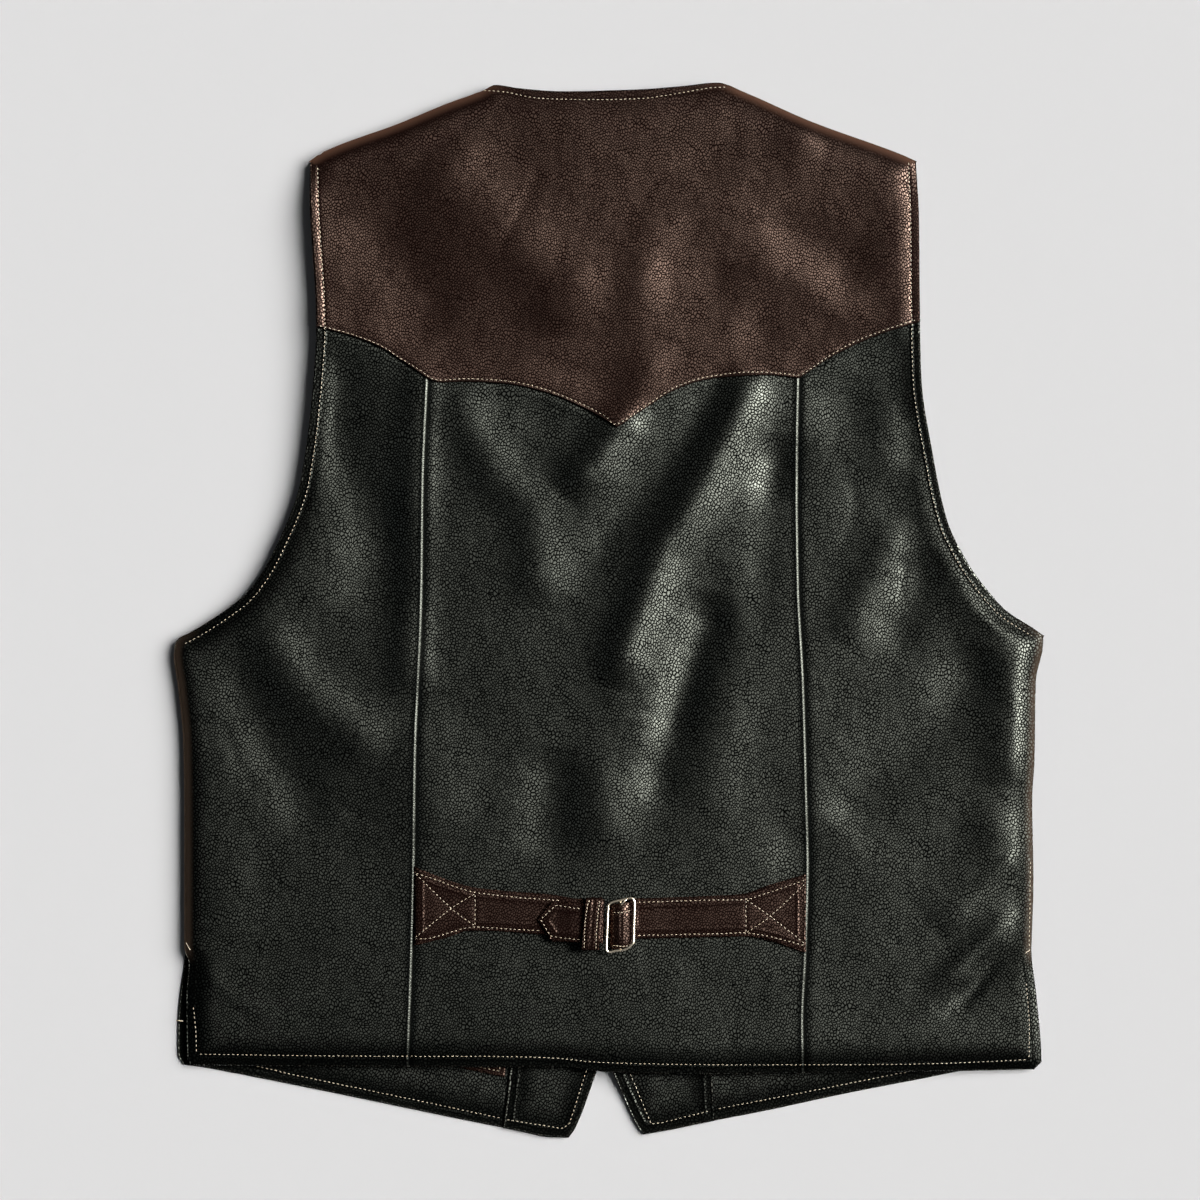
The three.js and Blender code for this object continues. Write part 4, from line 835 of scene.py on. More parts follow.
def beltTongue():
    t = belt["tongue"]
    tip = np.linspace(t["tip"], t["shoulder"], 12)
    x = np.concatenate([tip, np.linspace(t["shoulder"], t["end"], 32)[1:]])
    spread = np.clip((x - t["tip"]) / (t["shoulder"] - t["tip"]), 0.05, 1)
    down = stations(closeSteps, 25.0, 1.1)[:, None]
    y = lerp(lerp(t["middle"], t["upper"], spread), lerp(t["middle"], t["lower"], spread), down)
    plan = np.stack([x + 0 * down, y - 0.03 * np.maximum(x + 36, 0)], axis=-1)
    return beltPiece("tongue", plan, tongueLift(plan[..., 0]), 0.5)


def beltFloor(x, y):
    return dressedBack(np.array([x]), np.array([y]))[0][0]


def keeperSizes():
    k = belt["keeper"]
    middle, halfWidth = (k["top"] + k["bottom"]) / 2, (k["top"] - k["bottom"]) / 2
    high = strapLift(-10.0) + 2 * (body["strapWall"] + belt["between"]) + 1.9 + body["thinWall"]
    return middle, halfWidth, beltFloor(-11.0, middle), high


# Upper half of the keeper's rounded section.
def keeperTop(x, y):
    middle, halfWidth, floor, high = keeperSizes()
    off = np.clip(np.abs(y - middle) / halfWidth, 0, 1) ** (1 / 0.36)
    return floor + high / 2 * (1 + (1 - off * off) ** 0.25) + 0.15


# A slanted band over both straps: a rounded rectangle in section, closed round its loop.
def beltKeeper():
    k = belt["keeper"]
    middle, halfWidth, floor, high = keeperSizes()
    ring = circle(96)
    across = stations([0, 0.4, 0.9], 11.0, 0.6)
    upper = np.sin(ring)[:, None]

    def squared(value, power):
        return np.sign(value) * np.abs(value) ** power

    def rim(inset):
        y = middle + (halfWidth - inset) * squared(np.cos(ring), 0.36)
        z = high / 2 + (high / 2 - inset) * squared(np.sin(ring), 0.5)
        u = np.clip((k["top"] - y) / (k["top"] - k["bottom"]), 0, 1)[:, None]
        x = lerp(lerp(k["left"][0], k["left"][1], u), lerp(k["right"][0], k["right"][1], u), across)
        y = y[:, None] + 0 * x
        bulge = 0.35 * np.sin(np.pi * across) * (upper > 0)
        pull = pulled(x, y, beltLines["keeper"], 0.3, 0.8) * (upper > 0.2)
        return np.stack([x, y, floor + z[:, None] + bulge + pull], axis=-1)

    return loopPiece("keeper", rim(0.0), rim(0.95))


# A closed band: rows run round the loop, columns across it, outside and then back inside.
def loopPiece(name, outside, inside, step=0.6):
    grid = np.concatenate([outside, inside[:, ::-1]], axis=1)
    points = grid.reshape(-1, 3)
    index = np.arange(len(points)).reshape(grid.shape[:2])
    place = np.arange(outside.shape[1])
    rim = np.tile(np.minimum(place, place[::-1]) * step, 2 * len(grid))
    return addObject(name, points, turnedOut(points, quads(index, True, True)), marks(rim))


# Top of the tab: it arches over the buckle's middle bar, round at its crown, lower at both
# ends, and pinched by its seams.
def tabTop(x, y):
    t = belt["tab"]
    across = np.clip((x - t["left"]) / (t["right"] - t["left"]), 0.0, 1.0)
    down = np.clip((t["top"] - y) / (t["top"] - t["bottom"]), 0.0, 1.0)
    arch = np.sin(np.pi * across) ** 0.7
    droop = 1 - 0.28 * (np.abs(down - 0.5) * 2) ** 3
    high = belt["rest"] + (t["crown"] - body["thinWall"]) * arch * droop + body["thinWall"]
    floor = beltFloor(8.0, (t["top"] + t["bottom"]) / 2)
    return floor + high + pulled(x, y, beltLines["tab"], 0.45, 1.0)


# The tab: its top's height in plan, and its inside one thickness lower.
def buckleTab():
    t = belt["tab"]
    across = stations([0, 0.4, 1.0], 15.0, 0.6)[None, :]
    down = stations([0, 0.4, 1.0, 1.8], 28.0, 0.8)[:, None]
    x = lerp(t["left"], t["right"], across) + 0 * down
    y = lerp(t["top"] + 1.6 * across, t["bottom"] + 0.8 * np.sin(np.pi * across * 0.5) ** 4 * 3, down)
    outside = np.stack([x, y, tabTop(x, y)], axis=-1)
    inside = outside - np.array([0.0, 0.0, body["thinWall"]])
    rim = borderDistance(outside[..., :2])
    return wallPiece("buckleTab", outside, inside, marks(rim))


def circle(sides):
    return np.linspace(0, 2 * np.pi, sides + 1)[:-1]


# A skin over rings of points: it closes into a loop, or ends in a pole at each end.
def ringed(ring, poles=None):
    sides = ring.shape[1]
    points = ring.reshape(-1, 3)
    index = np.arange(len(points)).reshape(-1, sides)
    skin = quads(index, poles is None, True)[:, otherWay]
    if poles is None:
        return points, skin, np.empty((0, 3), dtype=int)
    caps = [np.stack([row, np.roll(row, -1), np.full(sides, len(points) + k)], axis=1)
            for k, row in enumerate((index[0, ::-1], index[-1]))]
    return np.concatenate([points, poles]), skin, np.concatenate(caps)


# A tube along a path: circles square to it, closed into a loop or capped at both ends.
def tube(path, radius, closed=False, sides=16):
    p = np.array(path, dtype=float)
    ahead = (np.roll(p, -1, axis=0) - np.roll(p, 1, axis=0)) if closed else np.gradient(p, axis=0)
    tangent = unit(ahead)
    sideways = unit(np.cross(tangent, [0.0, 0.0, 1.0]))
    upwards = np.cross(sideways, tangent)
    turn = circle(sides)[:, None]
    ring = sideways[:, None] * np.cos(turn) + upwards[:, None] * np.sin(turn)
    return ringed(p[:, None] + radius * ring, None if closed else p[[0, -1]])


# A curve through the points of a path, at even steps of its parameter.
def smoothPath(path, count=120, closed=False):
    p = np.array(path, dtype=float)
    nodes = np.concatenate([p[-1:], p, p[:2]] if closed else [p[:1], p, p[-1:]])
    spans = len(nodes) - 3
    at = np.linspace(0, spans, count, endpoint=not closed)
    i = np.minimum(at.astype(int), spans - 1)
    t = (at - i)[:, None]
    a, b, c, d = nodes[i], nodes[i + 1], nodes[i + 2], nodes[i + 3]
    square, cube = 2 * a - 5 * b + 4 * c - d, 3 * b - a - 3 * c + d
    return 0.5 * (2 * b + (c - a) * t + square * t ** 2 + cube * t ** 3)


def buckleFrame():
    loop = smoothPath(wirePath, 160, True)
    floor = beltFloor(8.0, -202.0)
    height = floor + 4.9 + 0.5 * np.sin((loop[:, 0] - 7) / 9)
    path = np.concatenate([loop, height[:, None]], axis=1)
    bar = [(7.4, -186.0, 4.6), (7.4, -202.0, 4.6), (7.2, -217.0, 4.6)]
    prong = [(11.9, -184.6, 5.4), (10.4, -185.6, 6.3), (8.9, -187.2, 6.4), (7.2, -189.2, 5.9)]
    parts = [tube(path, belt["wire"], True)]
    parts += [tube(np.array(rod) + [0, 0, floor], radius) for rod, radius in ((bar, 0.75), (prong, 0.4))]
    return joined("buckleFrame", parts)


# One mesh from several skins.
def joined(name, parts):
    points, faces, start = [], [], 0
    for p, skin, caps in parts:
        points.append(p)
        faces += (skin + start).tolist() + (caps + start).tolist()
        start += len(p)
    return addObject(name, np.concatenate(points), faces)


# A turned part: a profile of radius and height, spun about a vertical axis.
def lathe(name, profile, x, y, sides=48):
    radius, z = np.array(profile).T[:, :, None]
    turn = circle(sides)
    ring = np.stack([x + radius * np.cos(turn), y + radius * np.sin(turn), z + 0 * turn], axis=-1)
    return joined(name, [ringed(ring, [[x, y, profile[0][1]], [x, y, profile[-1][1]]])])


# A snap: a cap under the fronts, a post through both and a ring above them.
def snap(number, y):
    top = frontLift + body["wall"] + 0.3 + body["thinWall"] + 0.3
    profile = [(6.2, 0.0), (6.8, 0.12), (7.0, 0.4), (6.9, 0.75), (6.5, 0.9), (2.5, 0.9),
               (2.5, top), (4.6, top), (5.0, top + 0.2), (4.9, top + 0.6), (4.2, top + 0.8),
               (2.0, top + 0.8), (1.4, top + 0.5)]
    return lathe("snap" + str(number), profile, 0.0, y)


def innerPocket():
    p = {"left": -186.0, "right": -67.0, "bottom": -301.0, "height": 150.0, "slope": -0.208}
    steps = [*closeSteps, 2.2]
    across = stations(steps, 119.0, 4.0)[None, :]
    up = stations(steps, 150.0, 4.0)[:, None]
    x = lerp(p["left"], p["right"] + 4 * up, across)
    y = p["bottom"] + (x - p["right"]) * p["slope"] + p["height"] * up
    plan = np.stack([x, y], axis=-1)
    rim = borderDistance(plan)
    low = body["wall"] + 0.25
    soft = 0.2 * smooth(rim / 4)
    outside = np.stack([x, y, low + body["thinWall"] + soft], axis=-1)
    inside = np.stack([x, y, low + 0 * x], axis=-1)
    return wallPiece("pocket", outside, inside, marks(rim))


pieces["pocket"] = innerPocket()
pieces["strapLeft"] = beltStrap("left")
pieces["strapRight"] = beltStrap("right")
pieces["tongue"] = beltTongue()
pieces["keeper"] = beltKeeper()
pieces["buckleTab"] = buckleTab()
pieces["buckleFrame"] = buckleFrame()
for k, y in enumerate((45.0, -30.0, -105.0, -180.0, -255.0)):
    pieces["snap" + str(k + 1)] = snap(k + 1, y)
print("vest: belt and closure")

# Stitches
stitch = {"pitch": 2.95, "long": 1.5, "wide": 0.52, "high": 0.5, "turn": 0.12, "puff": 0.42}


# One stitch: a capsule along X, of four rings of eight and two poles.
def stitchForm():
    along, radius = np.array([(-0.46, 0.55), (-0.28, 0.95), (0.28, 0.95), (0.46, 0.55)]).T[:, :, None]
    turn = circle(8)
    ring = np.stack([along + 0 * turn, radius * np.cos(turn) / 2, radius * np.sin(turn) / 2], axis=-1)
    return ringed(ring, [[-0.5, 0, 0], [0.5, 0, 0]])


# Stitches along a path in plan, at even steps. Height gives the surface there.
def stitchRow(path, height, lift=0.1, pitch=stitch["pitch"]):
    p = np.array(path, dtype=float)
    length = np.hypot(*np.diff(p, axis=0).T)
    run = np.concatenate([[0.0], np.cumsum(length)])
    count = max(1, int(round(run[-1] / pitch)))
    at = (np.arange(count) + 0.5) * run[-1] / count
    back, front = (np.stack([np.interp(at + d, run, p[:, k]) for k in (0, 1)], axis=1) for d in (-0.8, 0.8))
    middle = (back + front) / 2 + rng.normal(0, 0.05, (count, 2))
    turn = np.arctan2(*(front - back).T[::-1]) + rng.normal(0, stitch["turn"], count)
    reach = stitch["long"] / 2
    offset = np.stack([np.cos(turn), np.sin(turn)], axis=1) * reach
    z = [height(q[:, 0], q[:, 1]) for q in (middle - offset, middle, middle + offset)]
    rise = (z[2] - z[0]) / (2 * reach)
    centre = np.concatenate([middle, ((z[0] + 2 * z[1] + z[2]) / 4 + lift)[:, None]], axis=1)
    along = unit(np.stack([np.cos(turn), np.sin(turn), rise], axis=1))
    sideways = unit(np.cross(np.array([0.0, 0.0, 1.0]), along))
    upwards = np.cross(along, sideways)
    return centre, along, sideways, upwards


# One mesh of all stitches of some rows: the stitch's form, turned and moved to each place.
def stitches(name, rows):
    form, skin, caps = stitchForm()
    centre, along, sideways, upwards = (np.concatenate(parts)[:, None] for parts in zip(*rows))
    size = 1 + rng.normal(0, 0.06, (len(centre), 1, 1))
    points = (centre + form[:, :1] * along * stitch["long"] * size
              + form[:, 1:2] * sideways * stitch["wide"] + form[:, 2:] * upwards * stitch["high"])
    starts = (np.arange(len(centre)) * len(form))[:, None, None]
    skin, caps = (skin + starts).reshape(-1, 4), (caps + starts).reshape(-1, 3)
    return joined(name, [(points.reshape(-1, 3), skin, caps)])


# The outline's own line moved in, between two places along it.
def insetOutline(inset, keep):
    p = outline[:, :2]
    ahead = unit(outlineNext[:, :2] - p)
    inward = np.stack([ahead[:, 1], -ahead[:, 0]], axis=1)
    return (p + inward * inset)[keep]


def backHeight(x, y):
    return dressedBack(x, y)[0]


def yokeHeight(x, y):
    return dressedBack(x, y, "yoke")[0]


def anyHeight(x, y):
    onYoke = y > yokeY(x) - 0.1
    return np.where(onYoke, yokeHeight(x, y), backHeight(x, y))


yokeStitch = [
    (-186.5, 183.0), (-166.5, 177.8), (-146.5, 170.1), (-133.6, 161.7), (-120.7, 154.0), (-114.5, 149.2),
    (-107.2, 147.9), (-94.2, 148.8), (-80.7, 148.5), (-67.8, 147.6), (-54.5, 145.6), (-41.3, 142.1),
    (-28.4, 137.3), (-14.8, 131.4), (-1.9, 124.3), (5.2, 119.6), (25.8, 132.9), (40.7, 142.5), (55.5, 148.3),
    (70.4, 151.3), (85.2, 152.9), (100.1, 153.0), (114.9, 151.9), (122.2, 151.2), (129.5, 155.4),
    (144.3, 165.4), (159.1, 173.3), (173.6, 178.9), (188.5, 184.0), (197.2, 186.6)]
neckStitch = [(-81.3, 334.4), (-66.5, 333.2), (-51, 330), (-36.1, 328.7), (-8.4, 328.2), (19.4, 328.9),
              (31.6, 330.2), (47.1, 332.8), (63.9, 335.8), (75.5, 336.4)]
hemStitch = [(-264.0, -285.3), (-200, -286.2), (-128.5, -286.5), (-70.4, -286.5), (-35, -287.5),
             (-5.8, -290.2), (50, -291.6), (110.4, -292.0), (202.7, -291.6), (268.5, -288.9)]
ventStitchLeft = [(-267.6, -254.6), (-265.9, -270.8), (-265.4, -284.4)]
ventStitchRight = [(268.3, -239.2), (270.2, -265.0), (270.0, -287.9)]
sideStitchRight = [(270.9, -161.1), (270.6, -190.0), (270.2, -216.6)]
# Rows on the inside of the fronts: side, whether they run on the facing, and path.
insideLines = [
    ("left", False, [(-268.0, -284.6), (-200.0, -300.2), (-134.9, -313.7), (-70.0, -327.4)]),
    ("left", True, [(-66.5, -328.1), (-29.7, -334.0), (-25.4, -330.5), (-14.8, -297.0), (-5.0, -262.0)]),
    ("right", True, [(5.0, -276.0), (14.2, -299.8), (27.1, -331.0), (34.0, -330.2), (64.5, -322.6)]),
    ("right", False, [(70.0, -321.4), (123.3, -311.3), (200.0, -296.0), (268.0, -282.6)]),
]
pocketLine = [(-183.0, -150.0), (-183.0, -273.0), (-70.4, -297.0), (-68.0, -170.0)]
bartacks = [[(-278.5, -263.7), (-274.3, -264.3)], [(-272.0, -213.6), (-269.4, -218.2)],
            [(267.6, -220.4), (271.0, -218.0)]]

armLeft = (outline[:, 0] < -180) & (outline[:, 1] < 288.9) & (outline[:, 1] > -19.5) & (outline[:, 0] > -281)
armRight = (outline[:, 0] > 190) & (outline[:, 1] < 291) & (outline[:, 1] > -15.5)
edgeLines = [insetOutline(body["stitchInset"], armLeft), insetOutline(body["stitchInset"], armRight)]
rows = {
    "stitchesArmholes": [stitchRow(line, anyHeight) for line in edgeLines],
    "stitchesYoke": [stitchRow(smoothPath(yokeStitch, 300), yokeHeight)],
    "stitchesNeck": [stitchRow(smoothPath(neckStitch), yokeHeight)],
    "stitchesHem": [stitchRow(smoothPath(line), backHeight)
                    for line in (hemStitch, ventStitchLeft, ventStitchRight, sideStitchRight)],
    "bartacks": [stitchRow(line, backHeight, 0.15, 0.9) for line in bartacks],
}


# Height read from a belt piece's own formula.
def onBelt(lift, lines):
    return lambda x, y: backHeight(x, y) + lift(x) + body["strapWall"] + stitch["puff"] + pulled(x, y, lines)


strapLifts = {"strapLeft": strapLift, "strapRight": lambda x: belt["rest"]}
rows["stitchesBelt"] = [stitchRow(smoothPath(line), onBelt(strapLifts[key], beltLines[key]))
                        for key in strapLifts for line in beltLines[key]]
rows["stitchesTongue"] = [
    stitchRow(beltLines["tongue"][0], onBelt(tongueLift, beltLines["tongue"]), pitch=2.9)]
loopTops = {"keeper": keeperTop, "tab": tabTop}
rows["stitchesKeeper"] = [stitchRow(smoothPath(line, 40), loopTops[key], pitch=2.3)
                          for key in loopTops for line in beltLines[key]]


# Height of a front's inside, or of the facing on it.
def insideHeight(side, onFacing):
    extra = body["seamGap"] * 0.5 + body["thinWall"] + 0.2 if onFacing else 0.0
    return lambda x, y: frontShell(np.stack([x, y], axis=-1), sides[side]["lift"])[1][..., 2] + extra


pocketTop = body["wall"] + 0.25 + body["thinWall"] + 0.2
rows["stitchesInside"] = [
    stitchRow(line, insideHeight(side, onFacing), 0.12) for side, onFacing, line in insideLines]
rows["stitchesInside"].append(stitchRow(pocketLine, lambda x, y: pocketTop + 0 * x))
seams = {name: stitches(name, parts) for name, parts in rows.items()}
print("vest: stitches")

# Node that each piece replaces, then the width, length and area of its cut in metres.
made = {
    "yoke": ("back_yoke", 0.40, 0.24, 0.073),
    "centrePanel": ("centre_back", 0.26, 0.46, 0.112),
    "sidePanelLeft": ("side_back_left", 0.17, 0.49, 0.062),
    "sidePanelRight": ("side_back_right", 0.17, 0.49, 0.064),
    "frontLeft": ("front_left", 0.30, 0.69, 0.142),
    "frontRight": ("front_right", 0.30, 0.69, 0.142),
    "facingLeft": ("facing_left", 0.14, 0.66, 0.042),
    "facingRight": ("facing_right", 0.14, 0.66, 0.042),
    "pocket": ("inner_pocket", 0.15, 0.175, 0.018),
    "strapLeft": ("belt_strap_left", 0.125, 0.055, 0.0037),
    "strapRight": ("belt_strap_right", 0.125, 0.055, 0.0037),
    "tongue": ("belt_tongue", 0.045, 0.026, 0.0011),
    "keeper": ("belt_keeper", 0.012, 0.078, 0.0009),
    "buckleTab": ("buckle_tab", 0.03, 0.03, 0.0006),
    "buckleFrame": ("buckle_frame",),
    **{"snap" + k: ("snap_" + k,) for k in "12345"},
}

# Camera
camera = bpy.data.objects.new("camera", bpy.data.cameras.new("camera"))
bpy.context.scene.collection.objects.link(camera)
camera.data.sensor_width = shot["sensor"]
camera.data.lens = shot["sensor"] * shot["height"] / shot["width"]
camera.data.clip_end = 20.0
camera.location = (shot["centre"][0] * mm, shot["centre"][1] * mm, shot["height"] * mm)
camera.rotation_euler = (0.0, 0.0, 0.0)
bpy.context.scene.camera = camera


# A sun of a given width. With sheen it lights reflections only, without it all but those.
def softSun(name, sheen, turn, rise, wide, power, color):
    data = bpy.data.lights.new(name, "SUN")
    data.angle = math.radians(wide)
    data.energy = power
    data.color = color
    lamp = bpy.data.objects.new(name, data)
    lamp.location = (0.0, 0.0, 2.0)
    lamp.rotation_euler = (0.0, math.radians(90 - rise), math.radians(turn))
    lamp.visible_glossy = sheen
    lamp.visible_diffuse = not sheen
    bpy.context.scene.collection.objects.link(lamp)


for lampName in ("room", "key", "fill"):
    softSun(lampName, sheen=lampName != "room", **light[lampName])
world = bpy.data.worlds.new("studio")
world.use_nodes = True
world.node_tree.nodes["Background"].inputs["Color"].default_value = (*light["worldColor"], 1.0)
world.node_tree.nodes["Background"].inputs["Strength"].default_value = light["world"]
bpy.context.scene.world = world
bpy.context.scene.view_settings.view_transform = "Standard"

floorSize = 6000.0
floorCorners = np.array([(-1, -1, 0), (1, -1, 0), (1, 1, 0), (-1, 1, 0)]) * floorSize
floor = addObject("floor", floorCorners, [(0, 1, 2, 3)])

# Materials: a small class wraps a socket, so that shader maths reads as plain arithmetic.


class Wire:
    def __init__(self, tree, socket):
        self.tree, self.socket = tree, socket

    def math(self, operation, *others, swap=False):
        node = self.tree.nodes.new("ShaderNodeMath")
        node.operation = operation
        operands = [self, *others]
        if swap:
            operands.reverse()
        for slot, operand in zip(node.inputs, operands):
            if isinstance(operand, Wire):
                self.tree.links.new(operand.socket, slot)
            else:
                slot.default_value = operand
        return Wire(self.tree, node.outputs[0])

    def __add__(self, other): return self.math("ADD", other)
    def __radd__(self, other): return self.math("ADD", other)
    def __sub__(self, other): return self.math("SUBTRACT", other)
    def __rsub__(self, other): return self.math("SUBTRACT", other, swap=True)
    def __mul__(self, other): return self.math("MULTIPLY", other)
    def __rmul__(self, other): return self.math("MULTIPLY", other)
    def __truediv__(self, other): return self.math("DIVIDE", other)
    def __pow__(self, other): return self.math("POWER", other)


class Finish:
    def __init__(self, name):
        self.material = bpy.data.materials.new(name)
        self.material.use_nodes = True
        self.tree = self.material.node_tree
        self.shader = self.tree.nodes["Principled BSDF"]

    # Any node: its type, its settings first, then the values or links of its sockets.
    def node(self, kind, settings=None, sockets=None, out=0):
        added = self.tree.nodes.new(kind)
        for key, value in (settings or {}).items():
            setattr(added, key, value)
        for key, value in (sockets or {}).items():
            slot = added.inputs[key]
            if isinstance(value, Wire):
                self.tree.links.new(value.socket, slot)
            else:
                slot.default_value = value
        return Wire(self.tree, added.outputs[out])

    def place(self):
        return self.node("ShaderNodeTexCoord", out="Object")

    def attribute(self, name):
        return self.node("ShaderNodeAttribute", {"attribute_name": name}, out="Fac")

    # Noise and cells are flat patterns in plan, as all cloth here lies flat.
    def noise(self, at, scale, detail=2.0, roughness=0.5, out="Fac"):
        return self.node("ShaderNodeTexNoise", {"noise_dimensions": "2D"}, {
            "Vector": at, "Scale": scale, "Detail": detail, "Roughness": roughness}, out=out)

    def cells(self, at, scale, feature="DISTANCE_TO_EDGE", out="Distance"):
        return self.node("ShaderNodeTexVoronoi", {"voronoi_dimensions": "2D", "feature": feature}, {
            "Vector": at, "Scale": scale, "Randomness": 0.92}, out=out)

    def ramp(self, value, low, high):
        return self.node("ShaderNodeMapRange", {"interpolation_type": "SMOOTHSTEP"},
                         {"Value": value, "From Min": low, "From Max": high})

    def mix(self, factor, first, second):
        return self.node("ShaderNodeMix", {"data_type": "RGBA"}, {0: factor, 6: first, 7: second}, out=2)

    def bump(self, height, strength, distance, normal=None):
        sockets = {"Height": height, "Strength": strength, "Distance": distance}
        if normal is not None:
            sockets["Normal"] = normal
        return self.node("ShaderNodeBump", {}, sockets)

    # Mixes a dark matte shader in, where the mask says: painted shade.
    def shade(self, mask, color):
        dark = self.node("ShaderNodeBsdfPrincipled", {}, {
            "Base Color": color, "Roughness": 0.9, "Specular IOR Level": 0.0})
        plain = Wire(self.tree, self.shader.outputs[0])
        mixed = self.node("ShaderNodeMixShader", {}, {0: mask, 1: plain, 2: dark})
        surface = self.tree.nodes["Material Output"].inputs["Surface"]
        self.tree.links.new(mixed.socket, surface)

    def set(self, name, value):
        slot = self.shader.inputs[name]
        if isinstance(value, Wire):
            self.tree.links.new(value.socket, slot)
        else:
            slot.default_value = value


# Per leather: its colours, the strength of its painted edge shade, and one edge colour used both for worn
# edges and for a painted tan highlight on the sewn side edges.
leatherLooks = {
    "black": {
        "base": (0.0012, 0.0016, 0.0015), "crest": (0.0030, 0.0036, 0.0032), "wornAndRimHighlight": (0.070, 0.048, 0.034),
        "cell": 580.0, "grain": 0.00008, "rough": 0.41, "roughSwing": 0.06, "specular": 0.5,
        "tint": (0.91, 1.0, 0.94, 1.0), "creaseWide": 0.42, "band": 0.8,
    },
    "brown": {
        "base": (0.013, 0.0046, 0.0036), "crest": (0.022, 0.0088, 0.0064), "wornAndRimHighlight": (0.11, 0.055, 0.036),
        "cell": 640.0, "grain": 0.00009, "rough": 0.43, "roughSwing": 0.06, "specular": 0.42,
        "tint": (1.0, 0.70, 0.60, 1.0), "creaseWide": 0.42, "band": 0.35,
    },
}


def opaque(color, by=1.0):
    return tuple(by * c for c in color) + (1.0,)


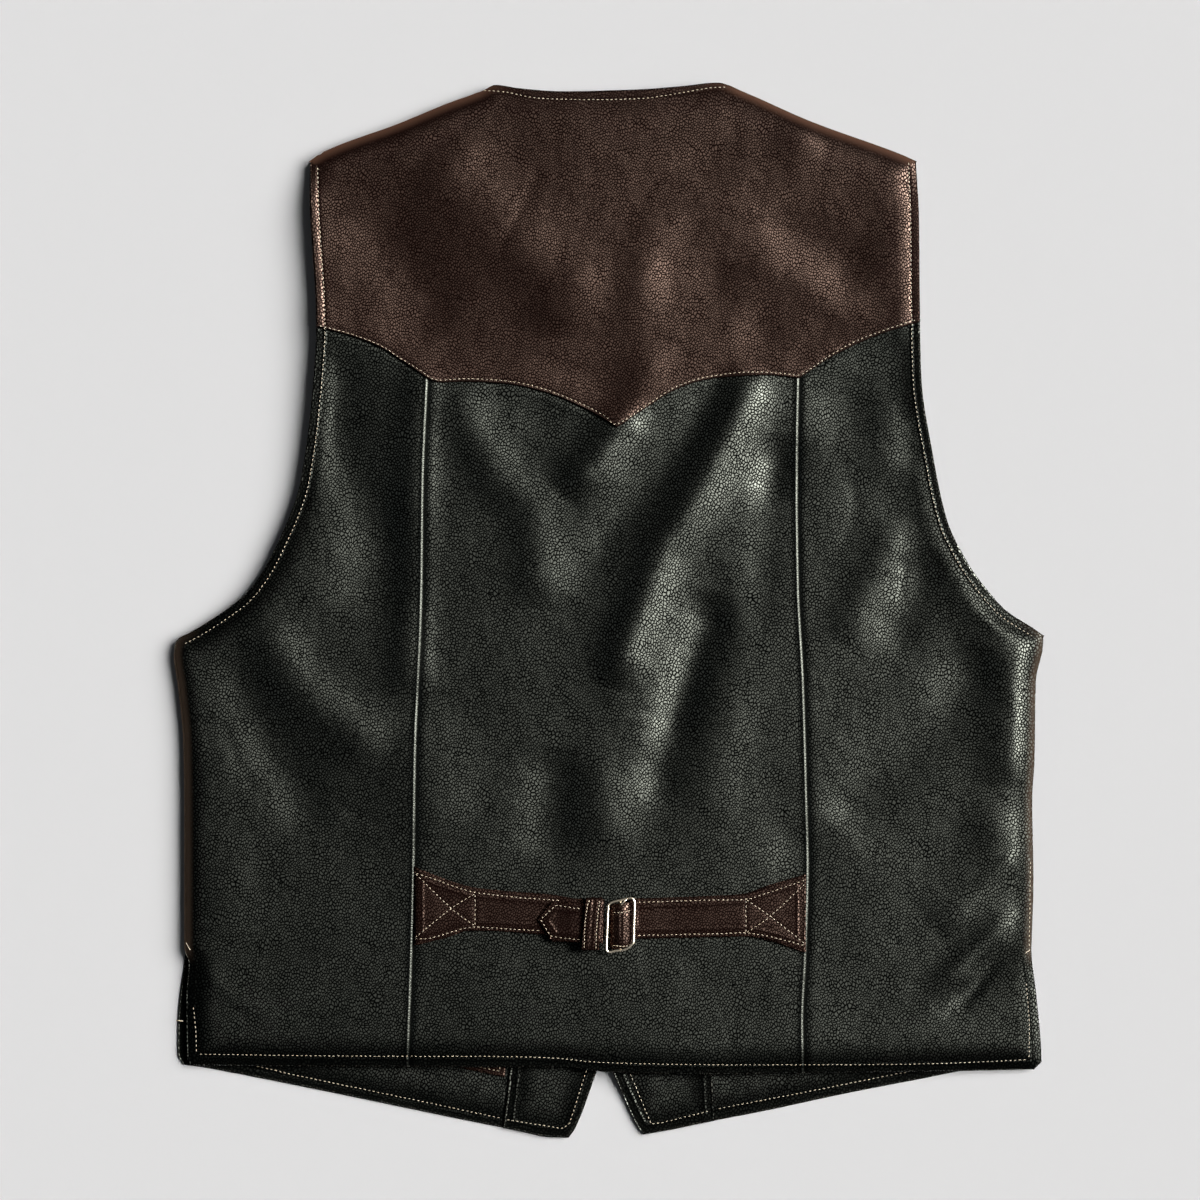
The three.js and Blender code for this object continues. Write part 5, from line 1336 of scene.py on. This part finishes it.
# Leather: pebbles between creases, finer pores, slow changes of tone and polish, worn edges,
# and the pull of the thread along stitched edges. Painted shade darkens the gaps between the
# pebbles, the stitch groove, the seams, a band along the edges and the sewn side edges; near the
# sewn side edges the shade turns to a painted tan highlight.
def leather(name, look):
    f = Finish(name)
    place = f.place()
    drift = f.noise(place, 60.0, 1.0, out="Color")
    drift = f.node("ShaderNodeVectorMath", {"operation": "SCALE"}, {0: drift, "Scale": 0.005})
    drifted = f.node("ShaderNodeVectorMath", {"operation": "ADD"}, {0: place, 1: drift})
    warped = f.node("ShaderNodeMapping", {}, {
        "Vector": drifted, "Rotation": (0, 0, 0.6), "Scale": (1.0, 0.82, 1.0)})
    inCell = f.cells(warped, look["cell"])
    dome = f.ramp(inCell, 0.0, 0.26)
    patchy = f.noise(place, 24.0, 3.0, 0.6)
    strength = f.ramp(patchy, 0.25, 0.75) * 0.15 + 0.9
    edge = f.attribute("edgeDistance")
    free = f.attribute("edgeFree")
    fromStitch = edge - body["stitchInset"]
    groove = (fromStitch * fromStitch * -1.1).math("EXPONENT") * free
    border = f.ramp(edge, 1.0, 9.0)
    grain = dome * strength * (border * 0.5 + 0.5)
    wrinkles = f.noise(warped, 110.0, 3.0, 0.6)
    coarse = f.bump(wrinkles * 0.10 - groove * 0.5, 1.0, 0.0008)
    f.set("Normal", f.bump(grain, 0.95, look["grain"], coarse))
    tone = f.mix(f.ramp(patchy, 0.3, 0.8) * 0.6, opaque(look["base"]), opaque(look["crest"]))
    # painted shade: the gaps between the pebbles are darker
    tone = f.mix((1 - dome) * 0.8, tone, opaque(look["base"], 0.2))
    rimWear = 1 - f.ramp(edge, 0.0, 8.0 - free * 5.0)
    tone = f.mix(rimWear * 0.45 * f.ramp(f.noise(place, 170.0, 1.0), 0.35, 0.65), tone, opaque(look["wornAndRimHighlight"]))
    # painted shade: darker along the stitch groove
    tone = f.mix(groove * 0.4, tone, opaque(look["base"], 0.4))
    f.set("Base Color", tone)
    f.set("Roughness", (patchy - 0.5) * look["roughSwing"] + look["rough"])
    f.set("Specular IOR Level", look["specular"])
    f.set("Specular Tint", look["tint"])
    # painted shade: a dark matte shader in the gaps between pebbles, and evenly near the seams
    creaseAndSeamShade = 1 - f.ramp(inCell, 0.07, look["creaseWide"])
    fromSeam = f.ramp(f.attribute("seamDistance"), 0.6, 3.0)
    creaseAndSeamShade = creaseAndSeamShade * fromSeam + (1 - fromSeam) * 0.72
    # painted shade: a dark band along the free edges, and a stronger one along the sewn side edges
    band = f.ramp(edge, 0.6, 1.8) * (1 - f.ramp(edge, 8.0, 23.0)) * free * look["band"]
    sewn = 1 - free
    band = band + (1 - f.ramp(edge, 4.0, 16.0)) * sewn * 0.85
    # painted highlight: near the sewn side edges the painted shade turns to the tan edge colour, partly edge
    # wear
    sideWearAndHighlight = (1 - f.ramp(edge, 0.0, 7.0)) * sewn
    f.shade(creaseAndSeamShade + band - creaseAndSeamShade * band, f.mix(sideWearAndHighlight, opaque(look["base"], 0.5), opaque(look["wornAndRimHighlight"])))
    return f.material


def threadFinish():
    f = Finish("thread")
    place = f.place()
    twist = f.noise(place, 1800.0, 2.0)
    patchy = f.noise(place, 60.0, 2.0)
    tone = f.mix(f.ramp(patchy, 0.3, 0.7), (0.56, 0.44, 0.28, 1), (0.80, 0.68, 0.49, 1))
    f.set("Base Color", tone)
    f.set("Roughness", 0.6)
    f.set("Normal", f.bump(twist, 0.5, 0.0001))
    return f.material


def metalFinish(name, color, rough):
    f = Finish(name)
    place = f.place()
    wear = f.noise(place, 400.0, 3.0)
    f.set("Base Color", f.mix(f.ramp(wear, 0.3, 0.8) * 0.4, opaque(color), opaque(color, 0.7)))
    f.set("Metallic", 1.0)
    f.set("Roughness", rough + wear * 0.12)
    f.set("Normal", f.bump(wear, 0.2, 0.00005))
    return f.material


def floorFinish():
    f = Finish("backdrop")
    place = f.place()
    f.set("Base Color", (*light["floor"], 1))
    f.set("Roughness", 0.9)
    f.set("Specular IOR Level", 0.1)
    f.set("Normal", f.bump(f.noise(place, 90.0, 2.0), 0.02, 0.0002))
    return f.material


finishes = {
    "black_leather": leather("blackLeather", leatherLooks["black"]),
    "brown_leather": leather("brownLeather", leatherLooks["brown"]),
    "thread": threadFinish(),
    "buckle_metal": metalFinish("buckleMetal", (0.80, 0.73, 0.62), 0.22),
    "snap_metal": metalFinish("snapMetal", (0.42, 0.33, 0.20), 0.35),
}
floor.data.materials.append(floorFinish())


def dress(piece, slotName):
    piece.data.materials.clear()
    piece.data.materials.append(finishes[slotName])
    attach(piece, "root")


slots = {part["node"]: part["material_slot"] for part in frame["record"]["subparts"]}
for name, piece in pieces.items():
    node, *cut = made[name]
    dress(piece, slots[node])
    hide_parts(node)
for piece in seams.values():
    dress(piece, "thread")

print("vest: finished")
